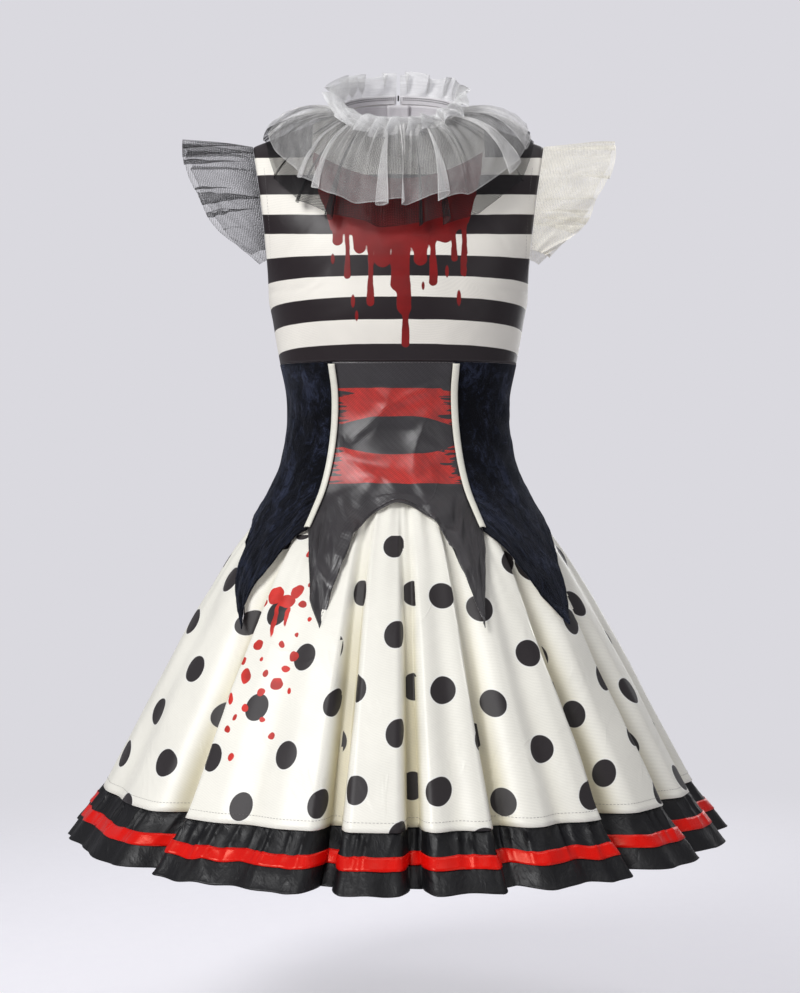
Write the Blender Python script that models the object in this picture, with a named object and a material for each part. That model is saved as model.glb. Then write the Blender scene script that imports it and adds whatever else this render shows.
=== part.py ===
"""Clown costume: a sleeveless dress standing open and hollow, as it hangs on its wearer's shoulders.

Every piece of cloth is a thin wall laid on one body form. The tables below give the form's sections, the
outline of each cut edge and the folds; the functions turn them into rings and rows of points.
Tables are in millimetres and degrees. An angle of 0 is the centre front, 90 the wearer's left side (+X)
and 180 the centre back. The origin is midway between the two shoulder seams, with +Z up and -Y to the front.
"""

import math

import bpy
import numpy as np

MM = 0.001
SEAM = 0.3          # gap between two pieces that are sewn together
CLOTH = 1.5         # wall of satin
VELVET = 2.0        # wall of pile cloth
NET = 1.0           # wall of tulle and organza
EASE = 0.6          # how far the bodice and waist panels stand off the form

WAIST_SEAM = -247.0
PANEL_ROWS = (WAIST_SEAM - SEAM, -278.0, -308.0, -340.0, -368.0, -392.0)
POINT_ROWS = 4      # rows between the last panel row and the cut lower edge
SKIRT_ROWS = (-386.0, -404.0, -440.0, -485.0, -535.0, -595.0, -660.0, -721.0)
SKIRT_TOP, HEM = SKIRT_ROWS[0], SKIRT_ROWS[-1]
RUFFLE_DROP = 52.0
HEM_GAP = 1.0        # lets the slanting top of the ruffle clear the slanting hem
SIDE_GAP = 0.9       # lets the gathers at the side seams clear each other
RUFFLE_ROWS = (0.0, 0.42, 0.62, 1.0)
RIBBON_ROWS = slice(1, 3)
ARMPIT = -172.0

FORM = (            # height, half width, front depth, back depth, squareness (2 is an ellipse)
    (-773.0, 377.0, 367.0, 369.0, 2.00),
    (-721.0, 337.0, 320.0, 322.0, 2.00),
    (-690.0, 320.0, 302.0, 304.0, 2.00),
    (-645.0, 296.0, 277.0, 279.0, 2.00),
    (-598.0, 271.0, 250.0, 251.0, 2.00),
    (-552.0, 247.0, 225.0, 225.0, 2.00),
    (-506.0, 222.0, 197.0, 197.0, 2.00),
    (-460.0, 193.5, 165.5, 165.5, 2.00),
    (-420.0, 164.0, 132.0, 131.0, 2.00),
    (-394.0, 148.5, 111.0, 107.0, 2.05),
    (-370.0, 136.5, 99.0, 93.0, 2.10),
    (-340.0, 129.0, 90.0, 82.0, 2.10),
    (-308.0, 125.0, 86.0, 76.0, 2.15),
    (-270.0, 128.0, 90.0, 78.0, 2.20),
    (-247.0, 133.0, 96.0, 82.0, 2.30),
    (-200.0, 141.0, 109.0, 89.0, 2.30),
    (-172.0, 146.0, 110.0, 93.0, 2.30),
)

ARMHOLE = (         # height, half width at the edge, then for the front and the back: depth at the edge
                    # and depth at the centre
    (-172.0, 146.0, 0.0, 110.0, 0.0, 93.0),
    (-162.0, 145.5, 27.0, 109.5, 25.0, 93.5),
    (-145.0, 145.5, 41.0, 108.5, 38.0, 94.5),
    (-120.0, 147.0, 51.5, 106.0, 48.0, 96.0),
    (-92.0, 149.5, 55.0, 100.0, 51.0, 95.0),
)
BODICE_SQUARENESS = 2.3
BODICE_LOW_ROWS = (WAIST_SEAM, -223.0, -198.0)
CHEST_PULL, TOP_PULL = 0.85, 0.6     # how long a column holds its slope above the chest and below its end
NECK_CLIMB = (0.55, 0.83)            # how much it runs inwards and upwards as it meets the neck
BODICE_TOP_STEPS = (0.25, 0.5, 0.75, 0.93, 1.0)
NECK_COLUMNS, SHOULDER_COLUMNS = 6, 4   # columns of half the bodice that end at the neck and at the shoulder
SHOULDER_POINT = (165.0, 0.0, 0.0)
NECK_SHARE = 0.5    # share of a bodice row, from its centre, that ends at the neck

NECK_HALF_WIDTH, NECK_HALF_DEPTH, NECK_BACKSET = 65.0, 62.0, 2.0
NECK_HEIGHT, NECK_SLOPE = 38.0, 0.37
NECK_AXIS = np.array((0.0, -NECK_SLOPE, 1.0)) / math.hypot(1.0, NECK_SLOPE)
BAND_HEIGHT, BAND_WALL = 10.0, 2.0
BAND_SEAT = (       # angle, share of the bodice's wall that rises above the neck edge
    (0.0, 0.80),
    (55.0, 0.95),
    (70.0, 1.70),
    (90.0, 1.80),
    (113.0, 0.45),
    (180.0, 0.12),
)

PIPING_SEAMS = (    # height, angle of the left seam, angle of the right seam
    (-247.0, -40.5, 35.5),
    (-320.0, -43.0, 39.0),
    (-382.0, -42.0, 38.5),
    (-432.0, -40.0, 37.0),
)
PIPING_WIDTH, PIPING_END = 7.0, -431.0
PIPING_LIFT = EASE + VELVET + 2 * SEAM

SATIN_HEM = (       # angle at the last panel row as a share of the width, angle and height of the cut edge
    (0.000, -39.9, -432.0),
    (0.055, -36.0, -446.0),
    (0.110, -31.5, -473.0),
    (0.165, -27.5, -504.0),
    (0.220, -22.7, -530.0),
    (0.270, -21.0, -490.0),
    (0.320, -19.3, -450.0),
    (0.375, -14.5, -419.0),
    (0.450, -6.5, -407.0),
    (0.530, 2.0, -404.0),
    (0.610, 10.0, -409.0),
    (0.680, 18.0, -427.0),
    (0.740, 21.5, -455.0),
    (0.790, 23.4, -493.0),
    (0.840, 24.6, -532.0),
    (0.890, 28.3, -492.0),
    (0.940, 32.8, -459.0),
    (1.000, 36.9, -433.0),
)
VELVET_LEFT_HEM = (
    (0.00, -89.9, -420.0),
    (0.15, -76.0, -431.0),
    (0.30, -67.0, -455.0),
    (0.44, -59.5, -492.0),
    (0.57, -47.0, -537.0),
    (0.68, -50.5, -507.0),
    (0.80, -48.3, -474.0),
    (0.90, -44.0, -440.0),
    (1.00, -40.5, -432.0),
)
VELVET_RIGHT_HEM = (
    (0.00, 37.5, -433.0),
    (0.12, 43.0, -454.0),
    (0.24, 46.0, -484.0),
    (0.35, 49.5, -512.0),
    (0.45, 53.5, -534.0),
    (0.56, 58.5, -507.0),
    (0.70, 64.0, -475.0),
    (0.85, 75.0, -440.0),
    (1.00, 89.9, -420.0),
)
VELVET_BACK_HEM = (  # for the +X side; the other side is its mirror image
    (0.00, 90.1, -420.0),
    (0.13, 103.0, -437.0),
    (0.25, 114.0, -464.0),
    (0.36, 122.0, -500.0),
    (0.46, 128.5, -535.0),
    (0.56, 133.5, -500.0),
    (0.67, 141.0, -462.0),
    (0.80, 153.0, -429.0),
    (0.90, 165.0, -412.0),
    (1.00, 178.3, -406.0),
)

SKIRT_FOLDS = (     # angle of the trough, reach of its left flank, of its right flank, depth at the hem
    (-163.0, 6.0, 4.0, 12.0),
    (-147.0, 7.0, 3.0, 17.0),
    (-127.0, 7.0, 7.0, 7.0),
    (-108.0, 7.0, 4.0, 16.0),
    (-87.0, 7.0, 7.0, 9.0),
    (-67.0, 8.0, 8.0, 10.0),
    (-43.0, 8.0, 3.0, 18.0),
    (-27.0, 7.0, 7.0, 5.0),
    (-11.0, 2.8, 2.8, 22.0),
    (2.8, 2.6, 2.6, 20.0),
    (10.5, 4.0, 4.0, 5.0),
    (18.5, 2.4, 6.5, 16.0),
    (30.0, 4.5, 5.0, 6.0),
    (40.5, 2.8, 8.0, 20.0),
    (59.5, 3.0, 8.0, 14.0),
    (79.0, 7.0, 7.0, 9.0),
    (98.0, 7.0, 6.0, 12.0),
    (117.0, 4.0, 7.0, 16.0),
    (134.5, 6.0, 6.0, 7.0),
    (151.0, 3.0, 7.0, 17.0),
    (170.0, 6.0, 5.0, 13.0),
)
WIDEST_COLUMN, NARROWEST_COLUMN = 4.6, 1.2   # degrees between two columns of skirt points
FOLD_RISE = 0.85     # how fast a fold deepens on its way down the skirt
WAIST_GATHER, GATHER_REACH = 3.2, 0.45   # depth of the gathers at the skirt's top, share they run down it
FOLD_GROWTH = 0.1    # how much deeper the folds are at the ruffle's lower edge than at the hem
TUCK = (             # drop below the skirt's top, how far the skirt lies inside the form there
    (0.0, 3.0),
    (154.0, 1.4),
    (214.0, 0.0),
)
HEM_GATHER = (1.6, 5.5)  # depth of the ruffle's gathers at its seam and at its lower edge

FRILL_WAVES = 20     # waves round the neck, in the standing frill and in both collar layers
FRILL_STEPS = 4      # points to a wave
NECK_FRILL_END = 174.5   # angle at which the neck pieces stop beside the back opening
BAND_END, BAND_COLUMNS = 176.5, 36
COLLARS = (          # name, height on the band, reach at the side, front and back, height at the side, drop
                     # at the front and back, squareness of the drop, bulge, wave
    ("collar_net_black", 2.8, 154.0, 117.0, 116.0, 17.0, 106.0, 62.0, 1.2, 9.0, 3.0),
    ("collar_organza_white", 5.6, 149.0, 121.0, 119.0, 23.0, 80.0, 40.0, 1.15, 13.0, 5.0),
)
COLLAR_STEPS = (0.0, 0.3, 0.65, 1.0)
COLLAR_SQUARENESS = 2.5
NECK_FRILL_STEPS = (0.0, 0.3, 0.65, 1.0)
NECK_FRILL_WIDTH = (36.0, 25.0)  # at the front and at the back
NECK_FRILL_LEAN = (142.0, 7.0)  # degrees that its edge leans out from the neck axis, at the same places
NECK_FRILL_TURN = 1.2     # how fast it turns down from the sides towards the front
NECK_FRILL_WAVE = 4.5

SLEEVE_START = -132.0
SLEEVE_SEAT = 1.2    # how far the sleeve's inner edge lies outside the armhole's edge
SLEEVE_WAVES = 8
SLEEVE_STEPS = (0.0, 0.45, 1.0)
SLEEVE_WAVE, SLEEVE_PHASE = (1.2, 8.0), 0.6
SLEEVE_CENTRE = (0.0, -85.0)     # centre of the armhole, as depth and height
SLEEVE_FLARE = 0.11              # how far it opens, as a share of its length
SLEEVE_DROOP = 5.0
SLEEVE_LENGTHS = (   # share of the way round the armhole, length of the right sleeve, of the left sleeve
    (0.00, 15.0, 16.0),
    (0.05, 35.0, 34.0),
    (0.11, 54.0, 56.0),
    (0.20, 66.0, 66.0),
    (0.32, 78.0, 81.0),
    (0.50, 80.0, 81.0),
    (0.68, 76.0, 79.0),
    (0.80, 64.0, 66.0),
    (0.90, 44.0, 46.0),
    (1.00, 14.0, 16.0),
)

ZIP_GAP = 4.0        # half of the opening between the two back halves
ZIP_HALF_WIDTH = 13.0
SLIDER_AT, SLOPE_STEP = 0.955, 0.005  # how far up the zip the pull is hinged, and where the slope is read
SLIDER_WIDTH, SLIDER_BELOW, SLIDER_ABOVE, SLIDER_WALL = 7.0, 7.7, 3.3, 2.4
LUG_INSIDE, LUG_WALL, LUG_REACH = 1.6, 1.0, 1.3
PIN_RADIUS, EYE_WALL, RUNNING_GAP = 0.7, 0.9, 0.3
PULL_WIDTH, PULL_WALL, PULL_STEM, PULL_LENGTH = 5.0, 1.2, 3.4, 24.0

COLOURS = {          # red, green, blue, roughness
    "striped_satin": (0.80, 0.77, 0.71, 0.45),
    "black_satin": (0.030, 0.028, 0.032, 0.35),
    "navy_velvet": (0.010, 0.013, 0.028, 0.80),
    "cream_piping": (0.78, 0.76, 0.68, 0.45),
    "dotted_satin": (0.86, 0.84, 0.74, 0.35),
    "red_ribbon": (0.72, 0.03, 0.02, 0.30),
    "white_net": (0.82, 0.82, 0.84, 0.60),
    "black_net": (0.05, 0.05, 0.06, 0.60),
    "cream_net": (0.84, 0.82, 0.76, 0.60),
    "zip_tape": (0.80, 0.79, 0.80, 0.50),
    "zip_metal": (0.55, 0.55, 0.56, 0.30),
}


# ---------------------------------------------------------------- curves and the form

def smooth(knots, values, at):
    """A smooth curve through a table's knots, read at every value of at."""
    knots, values, at = (np.asarray(x, float) for x in (knots, values, at))
    slopes = np.gradient(values, knots)
    i = np.clip(np.searchsorted(knots, at) - 1, 0, len(knots) - 2)
    span = knots[i + 1] - knots[i]
    f = (at - knots[i]) / span
    return (
        values[i] * (1 + 2 * f) * (1 - f) ** 2
        + slopes[i] * span * f * (1 - f) ** 2
        + values[i + 1] * f * f * (3 - 2 * f)
        + slopes[i + 1] * span * f * f * (f - 1)
    )


def column(table, index):
    return [row[index] for row in table]


def ring_radius(angle, half_width, depth, squareness):
    """Distance from the axis to a rounded outline, at an angle in radians from the centre front or back."""
    across = (np.abs(np.sin(angle)) / half_width) ** squareness
    along = (np.abs(np.cos(angle)) / depth) ** squareness
    return (across + along) ** (-1.0 / squareness)


def form_point(degrees, height, out=0.0):
    """Point of the body form at an angle and a height, moved out by some millimetres."""
    degrees, height = np.broadcast_arrays(np.asarray(degrees, float), np.asarray(height, float))
    angle = np.radians(degrees)
    sizes = [smooth(column(FORM, 0), column(FORM, i), height) for i in (1, 2, 3, 4)]
    depth = np.where(np.cos(angle) > 0, sizes[1], sizes[2])
    radius = ring_radius(angle, sizes[0], depth, sizes[3]) + out
    return np.stack([radius * np.sin(angle), -radius * np.cos(angle), height], axis=-1)


def form_normal(degrees, height, step=1.0):
    """Direction out of the form at an angle and a height."""
    down = form_point(degrees, height - step) - form_point(degrees, height + step)
    across = form_point(degrees + step, height) - form_point(degrees - step, height)
    normal = np.cross(down, across)
    return normal / np.linalg.norm(normal, axis=-1, keepdims=True)


def hermite(start, start_pull, end, end_pull, t):
    return (
        start * (1 + 2 * t) * (1 - t) ** 2
        + start_pull * t * (1 - t) ** 2
        + end * t * t * (3 - 2 * t)
        + end_pull * t * t * (t - 1)
    )


def moved_out(points, distance):
    """A grid moved along its own normals; its rows run down and its columns run by growing angle."""
    normals = np.cross(np.gradient(points, axis=0), np.gradient(points, axis=1))
    return points + normals * distance / np.linalg.norm(normals, axis=-1, keepdims=True)


# ---------------------------------------------------------------- Blender objects

def material(name):
    if name in bpy.data.materials:
        return bpy.data.materials[name]
    red, green, blue, roughness = COLOURS[name]
    made = bpy.data.materials.new(name)
    made.use_nodes = True
    shader = made.node_tree.nodes["Principled BSDF"]
    shader.inputs["Base Color"].default_value = (red, green, blue, 1.0)
    shader.inputs["Roughness"].default_value = roughness
    shader.inputs["Metallic"].default_value = 1.0 if name == "zip_metal" else 0.0
    return made


def add_object(name, points, faces, finish, smooth_angle=40.0):
    """A mesh object from points in millimetres, in its material and shaded smooth."""
    mesh = bpy.data.meshes.new(name)
    mesh.from_pydata([tuple(p * MM) for p in points], [], faces)
    mesh.materials.append(material(finish))
    mesh.shade_smooth()
    mesh.set_sharp_from_angle(angle=math.radians(smooth_angle))
    made = bpy.data.objects.new(name, mesh)
    bpy.context.scene.collection.objects.link(made)
    return made


def add_sheet(name, points, wall, finish):
    """A wall of cloth, thickened outwards from a grid of points on its inner face."""
    rows, columns = points.shape[:2]
    faces = []
    for r in range(rows - 1):
        for c in range(columns - 1):
            a = r * columns + c
            faces.append((a, a + columns, a + columns + 1, a + 1))
    cloth = add_object(name, points.reshape(-1, 3), faces, finish)
    thicken = cloth.modifiers.new("wall", "SOLIDIFY")
    thicken.thickness = wall * MM
    thicken.offset = 1.0
    return cloth


# ---------------------------------------------------------------- bodice

def neck_ring(degrees, out=0.0, up=0.0):
    """Point on the sloping neck edge, moved out from it and up along the neck."""
    angle = np.radians(degrees)
    depth = NECK_BACKSET - (NECK_HALF_DEPTH + out) * np.cos(angle)
    width = (NECK_HALF_WIDTH + out) * np.sin(angle)
    ring = np.stack([width, depth, NECK_HEIGHT + NECK_SLOPE * depth], axis=-1)
    return ring + NECK_AXIS * np.reshape(np.asarray(up, float), (-1, 1))


def bodice_row(share, side, half_width, edge_depth, depth, height, from_centre=0.0):
    """One level row across the bodice; side is -1 for the front and 1 for the back."""
    edge_angle = math.atan2(half_width, edge_depth)
    edge_radius = math.hypot(half_width, edge_depth)
    n = BODICE_SQUARENESS
    full = math.sin(edge_angle) / (edge_radius ** -n - (math.cos(edge_angle) / depth) ** n) ** (1 / n)
    start = math.asin(from_centre / depth)
    angle = np.sign(share) * start + share * (edge_angle - start)
    radius = ring_radius(angle, full, depth, n)
    level = np.full_like(share, height)
    return np.stack([radius * np.sin(angle), side * radius * np.cos(angle), level], axis=-1)


def bodice_top(share, side, from_centre=0.0):
    """Where each column of the bodice ends: along the neck, then along the shoulder seam."""
    start = math.degrees(math.asin(from_centre / NECK_HALF_WIDTH))
    turn = np.clip(np.abs(share) / NECK_SHARE, 0, 1)
    angle = np.sign(share) * (start + turn * (90.0 - start))
    neck = neck_ring(angle if side < 0 else 180.0 - angle)
    corner = neck_ring([90.0])[0]
    along = np.clip((np.abs(share) - NECK_SHARE) / (1 - NECK_SHARE), 0, 1)[:, None]
    seam = corner + (np.array(SHOULDER_POINT) - corner) * along
    seam[:, 0] *= np.sign(share)
    at_neck = np.abs(share) <= NECK_SHARE
    end = np.where(at_neck[:, None], neck, seam)
    end[:, 1] += np.where(at_neck, 0.0, side * SEAM / 2)
    steep = np.where(at_neck, np.cos(np.radians(90.0 * turn)), 0.0)
    pull = np.stack([0 * share, -side * (1 - (1 - NECK_CLIMB[0]) * steep), NECK_CLIMB[1] * steep], axis=-1)
    return end, pull


def bodice_grid(share, side, from_centre=0.0):
    """Rows of points down one side of the bodice, from its shoulder and neck edge to the waist seam."""
    edge, depth = (2, 3) if side < 0 else (4, 5)
    levels = []
    for height in BODICE_LOW_ROWS:
        sizes = [smooth(column(FORM, 0), column(FORM, i), height).item() for i in (1, 2, 3)]
        half_width, front, back = sizes
        levels.append((height, half_width, 0.0, front, 0.0, back))
    rows = []
    for level in levels + list(ARMHOLE):
        edge_depth = max(level[edge], SEAM / 2)
        rows.append(bodice_row(share, side, level[1], edge_depth, level[depth], level[0], from_centre))
    below, start = rows[-2], rows[-1]
    end, end_pull = bodice_top(share, side, from_centre)
    reach = np.linalg.norm(end - start, axis=1, keepdims=True)
    start_pull = (start - below) / (ARMHOLE[-1][0] - ARMHOLE[-2][0]) * reach * CHEST_PULL
    for t in BODICE_TOP_STEPS:
        rows.append(hermite(start, start_pull, end, end_pull * reach * TOP_PULL, t))
    return np.array(rows[::-1])


def half_shares():
    """The columns of half the bodice, as shares of its row from the centre to the side."""
    neck = np.linspace(0, NECK_SHARE, NECK_COLUMNS + 1)
    return np.append(neck, np.linspace(NECK_SHARE, 1, SHOULDER_COLUMNS + 1)[1:])


def make_bodice():
    half = half_shares()
    grids = {"front": moved_out(bodice_grid(np.append(-half[:0:-1], half), -1), EASE)}
    add_sheet("bodice_front", grids["front"], CLOTH, "striped_satin")
    # The back is seen from behind, so its columns run from the centre to the side by falling angle.
    half[0] = 1e-6
    for name, sign in (("right", -1), ("left", 1)):
        grid = bodice_grid(half * sign, 1, ZIP_GAP)
        grids[name] = moved_out(grid[:, ::-1] if sign > 0 else grid, EASE)
        add_sheet(f"bodice_back_{name}", grids[name], CLOTH, "striped_satin")
    return grids


# ---------------------------------------------------------------- waist panels

def panel_grid(hem, edges, hook=1.0):
    """A waist panel: level rows down to the last panel row, then rows to the cut edge.

    A hook over 1 keeps the columns upright for longer before they bend towards the cut edge.
    """
    shares, hem_angles, hem_heights = (np.array(column(hem, i)) for i in range(3))
    angles, heights = [], []
    for height in PANEL_ROWS:
        left, right = edges(height)
        angles.append(left + (right - left) * shares)
        heights.append(np.full_like(shares, height))
    for step in range(1, POINT_ROWS + 1):
        f = step / POINT_ROWS
        angles.append(angles[len(PANEL_ROWS) - 1] * (1 - f ** hook) + hem_angles * f ** hook)
        heights.append(PANEL_ROWS[-1] * (1 - f) + hem_heights * f)
    angles, heights = np.array(angles), np.array(heights)
    return form_point(angles, heights) + form_normal(angles, heights) * EASE


def seam_angle(height, side):
    return float(smooth(column(PIPING_SEAMS, 0)[::-1], column(PIPING_SEAMS, side)[::-1], height))


def half_gap(height, degrees):
    """Half of a seam's gap as an angle, at that place on the form."""
    return math.degrees(SEAM / 2 / np.linalg.norm(form_point(degrees, height)[:2]))


def make_waist_panels():
    def satin(height):
        left, right = seam_angle(height, 1), seam_angle(height, 2)
        return left + half_gap(height, left), right - half_gap(height, right)

    def velvet_left(height):
        right = seam_angle(height, 1)
        return -90 + half_gap(height, -90), right - half_gap(height, right)

    def velvet_right(height):
        left = seam_angle(height, 2)
        return left + half_gap(height, left), 90 - half_gap(height, 90)

    def velvet_back(height):
        opening = math.degrees(math.asin(ZIP_GAP / np.linalg.norm(form_point(180, height)[:2])))
        return 90 + half_gap(height, 90), 180 - opening

    add_sheet("waist_front", panel_grid(SATIN_HEM, satin), CLOTH, "black_satin")
    add_sheet("waist_side_right", panel_grid(VELVET_LEFT_HEM, velvet_left, 2.0), VELVET, "navy_velvet")
    add_sheet("waist_side_left", panel_grid(VELVET_RIGHT_HEM, velvet_right), VELVET, "navy_velvet")
    back = panel_grid(VELVET_BACK_HEM, velvet_back)
    add_sheet("waist_back_left", back, VELVET, "navy_velvet")
    mirrored = back[:, ::-1] * np.array((-1, 1, 1))
    add_sheet("waist_back_right", mirrored, VELVET, "navy_velvet")
    return back


def make_piping():
    """Flat cream piping, laid on each seam between the satin and the velvet."""
    heights = np.append(np.array(PANEL_ROWS) - 1.0, (-412.0, PIPING_END))
    for name, side in (("right", 1), ("left", 2)):
        middle = np.array([seam_angle(h, side) for h in heights])
        radius = np.linalg.norm(form_point(middle, heights)[:, :2], axis=1)
        spread = np.degrees(PIPING_WIDTH / 2 / radius)
        angles = middle[:, None] + spread[:, None] * np.array((-1, 0, 1))
        grid = form_point(angles, heights[:, None]) + form_normal(angles, heights[:, None]) * PIPING_LIFT
        add_sheet(f"piping_{name}", grid, CLOTH, "cream_piping")


# ---------------------------------------------------------------- skirt, hem ruffle and ribbon

def skirt_columns():
    """Angles of the skirt's columns: each fold's edges and bottom, and more where those lie far apart."""
    kept = [-180.0, -90.0, 90.0, 180.0]
    for trough, left, right, _ in SKIRT_FOLDS:
        for mark in (trough, trough - left, trough + right):
            if min(abs(mark - other) for other in kept) > NARROWEST_COLUMN:
                kept.append(mark)
    kept.sort()
    columns = [kept[0]]
    for a, b in zip(kept, kept[1:]):
        parts = max(1, math.ceil((b - a) / WIDEST_COLUMN))
        columns += [a + (b - a) * i / parts for i in range(1, parts + 1)]
    return np.array(columns)


def fold_depth(degrees):
    """How far the folds draw the skirt in at the hem, at each angle."""
    depth = np.zeros_like(degrees)
    for trough, left, right, deepest in SKIRT_FOLDS:
        away = (degrees - trough + 180.0) % 360.0 - 180.0
        rise = np.clip(1 - np.abs(away) / np.where(away < 0, left, right), 0, 1)
        depth = np.maximum(depth, deepest * rise * rise * (3 - 2 * rise))
    return depth


def gathers(degrees, columns):
    """0 on a crest and 1 in a valley; a gather spans two columns, and the side seams lie in valleys."""
    phase = np.interp(degrees, columns, np.arange(len(columns))) - list(columns).index(90.0)
    return 0.5 + 0.5 * np.cos(np.pi * phase)


def skirt_grid(degrees, columns):
    heights = np.array(SKIRT_ROWS)[:, None]
    down = (SKIRT_TOP - heights) / (SKIRT_TOP - HEM)
    inset = fold_depth(degrees) * down ** FOLD_RISE
    inset = inset + WAIST_GATHER * gathers(degrees, columns) * np.clip(1 - down / GATHER_REACH, 0, 1)
    inset = inset + np.interp(SKIRT_TOP - heights, column(TUCK, 0), column(TUCK, 1))
    return form_point(degrees[None, :], heights, -inset)


def ruffle_grid(degrees, columns):
    f = np.array(RUFFLE_ROWS)[:, None]
    gather = HEM_GATHER[0] + (HEM_GATHER[1] - HEM_GATHER[0]) * f
    inset = fold_depth(degrees) * (1 + FOLD_GROWTH * f) + gather * gathers(degrees, columns)
    return form_point(degrees[None, :], HEM - HEM_GAP - (RUFFLE_DROP - HEM_GAP) * f, -inset)


def make_skirt():
    columns = skirt_columns()
    gap = math.degrees(SIDE_GAP / 2 / FORM[1][1])
    front = columns[(columns >= -90) & (columns <= 90)]
    behind = np.concatenate([columns[columns >= 90], columns[1:][columns[1:] <= -90] + 360.0])
    for name, span in (("front", front), ("back", behind)):
        span = span.copy()
        span[0] += gap
        span[-1] -= gap
        wrapped = (span + 180.0) % 360.0 - 180.0
        add_sheet(f"skirt_{name}", moved_out(skirt_grid(wrapped, columns), -CLOTH), CLOTH, "dotted_satin")
        ruffle = ruffle_grid(wrapped, columns)
        add_sheet(f"hem_ruffle_{name}", moved_out(ruffle, -CLOTH), CLOTH, "black_satin")
        add_sheet(f"hem_ribbon_{name}", moved_out(ruffle, 3 * SEAM)[RIBBON_ROWS], NET, "red_ribbon")


# ---------------------------------------------------------------- neck band, collars and standing frill

def make_band():
    degrees = np.linspace(-BAND_END, BAND_END, BAND_COLUMNS + 1)
    rise = np.interp(np.abs(degrees), column(BAND_SEAT, 0), column(BAND_SEAT, 1))
    bottom = neck_ring(degrees, 0.0, SEAM + (EASE + CLOTH) * rise)
    top = neck_ring(degrees, 0.0, BAND_HEIGHT)
    band = moved_out(np.array([top, bottom]), EASE + CLOTH - BAND_WALL)
    add_sheet("neck_band", band, BAND_WALL, "zip_tape")


def frill_columns():
    return np.linspace(-NECK_FRILL_END, NECK_FRILL_END, FRILL_WAVES * FRILL_STEPS + 1)


def wave(degrees, count, end):
    """A wave of that many periods between -end and end."""
    return np.sin(np.pi * count * (degrees / end))


def collar_grid(degrees, sizes):
    """A collar layer: out from the band, over the shoulders and down the chest, waved towards its edge."""
    base_height, side, front, back, side_height, front_drop, back_drop, square, bulge, ripple = sizes
    angle = np.radians(degrees)
    depth = np.where(np.cos(angle) > 0, front, back)
    drop = np.where(np.cos(angle) > 0, front_drop, back_drop)
    reach = ring_radius(angle, side, depth, COLLAR_SQUARENESS)
    away = np.stack([np.sin(angle), -np.cos(angle), 0 * angle], axis=-1)
    base = neck_ring(degrees, EASE + CLOTH + 2 * SEAM, base_height)
    fall = drop * (1 - (1 - np.abs(np.cos(angle))) ** square)
    edge_height = side_height * np.sin(angle) ** 2 - fall
    edge = away * reach[:, None] + np.array((0, 0, 1.0)) * edge_height[:, None]
    chord = edge - base
    across = np.sum(chord * away, axis=1)
    normal = away * -chord[:, 2:] + np.array((0, 0, 1.0)) * across[:, None]
    normal /= np.linalg.norm(normal, axis=1, keepdims=True)
    rows = []
    for s in COLLAR_STEPS:
        lift = 4 * bulge * s * (1 - s) + ripple * s * wave(degrees, FRILL_WAVES, NECK_FRILL_END)
        rows.append(base + chord * s + normal * lift[:, None])
    return np.array(rows)


def make_collars():
    for name, *sizes in COLLARS:
        finish = "black_net" if "black" in name else "white_net"
        add_sheet(name, collar_grid(frill_columns(), sizes), NET, finish)


def neck_frill_grid(degrees):
    """The standing frill: upright behind the neck, and turned down outwards over the collar at the front."""
    angle = np.radians(degrees)
    away = np.stack([np.sin(angle), -np.cos(angle), 0 * angle], axis=-1)
    away -= NECK_AXIS * (away @ NECK_AXIS)[:, None]
    away /= np.linalg.norm(away, axis=1, keepdims=True)
    frontness = np.clip(np.cos(angle), 0, 1) ** NECK_FRILL_TURN
    lean = np.radians(NECK_FRILL_LEAN[1] + (NECK_FRILL_LEAN[0] - NECK_FRILL_LEAN[1]) * frontness)
    width = NECK_FRILL_WIDTH[1] + (NECK_FRILL_WIDTH[0] - NECK_FRILL_WIDTH[1]) * frontness
    point = neck_ring(degrees, EASE + CLOTH / 2, BAND_HEIGHT + SEAM)
    rows, last = [point], 0.0
    for s in NECK_FRILL_STEPS[1:]:
        bend = lean * (s + last) / (1 + NECK_FRILL_STEPS[-2])
        step = (s - last) * width[:, None]
        point = point + step * (NECK_AXIS * np.cos(bend)[:, None] + away * np.sin(bend)[:, None])
        tilt = NECK_AXIS * -np.sin(bend)[:, None] + away * np.cos(bend)[:, None]
        ripple = NECK_FRILL_WAVE * s * wave(degrees, FRILL_WAVES, NECK_FRILL_END)
        rows.append(point + tilt * ripple[:, None])
        last = s
    return np.array(rows)


def make_neck_frill():
    add_sheet("neck_frill", neck_frill_grid(frill_columns()), NET, "white_net")


# ---------------------------------------------------------------- flutter sleeves

def armhole_path(grids, sign):
    """The armhole's edge on one side, from its start on the front over the shoulder to its back end."""
    front = grids["front"][::-1, -1 if sign > 0 else 0]
    back = grids["left"][1:, 0] if sign > 0 else grids["right"][1:, -1]
    path = np.concatenate([front[front[:, 2] >= SLEEVE_START], back[back[:, 2] >= SLEEVE_START]])
    return path * np.array((sign, 1, 1))


def along(path, shares):
    """Points at those shares of a path's length."""
    lengths = np.concatenate([[0], np.cumsum(np.linalg.norm(np.diff(path, axis=0), axis=1))])
    return np.stack([np.interp(shares * lengths[-1], lengths, path[:, i]) for i in range(3)], axis=-1)


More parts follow.
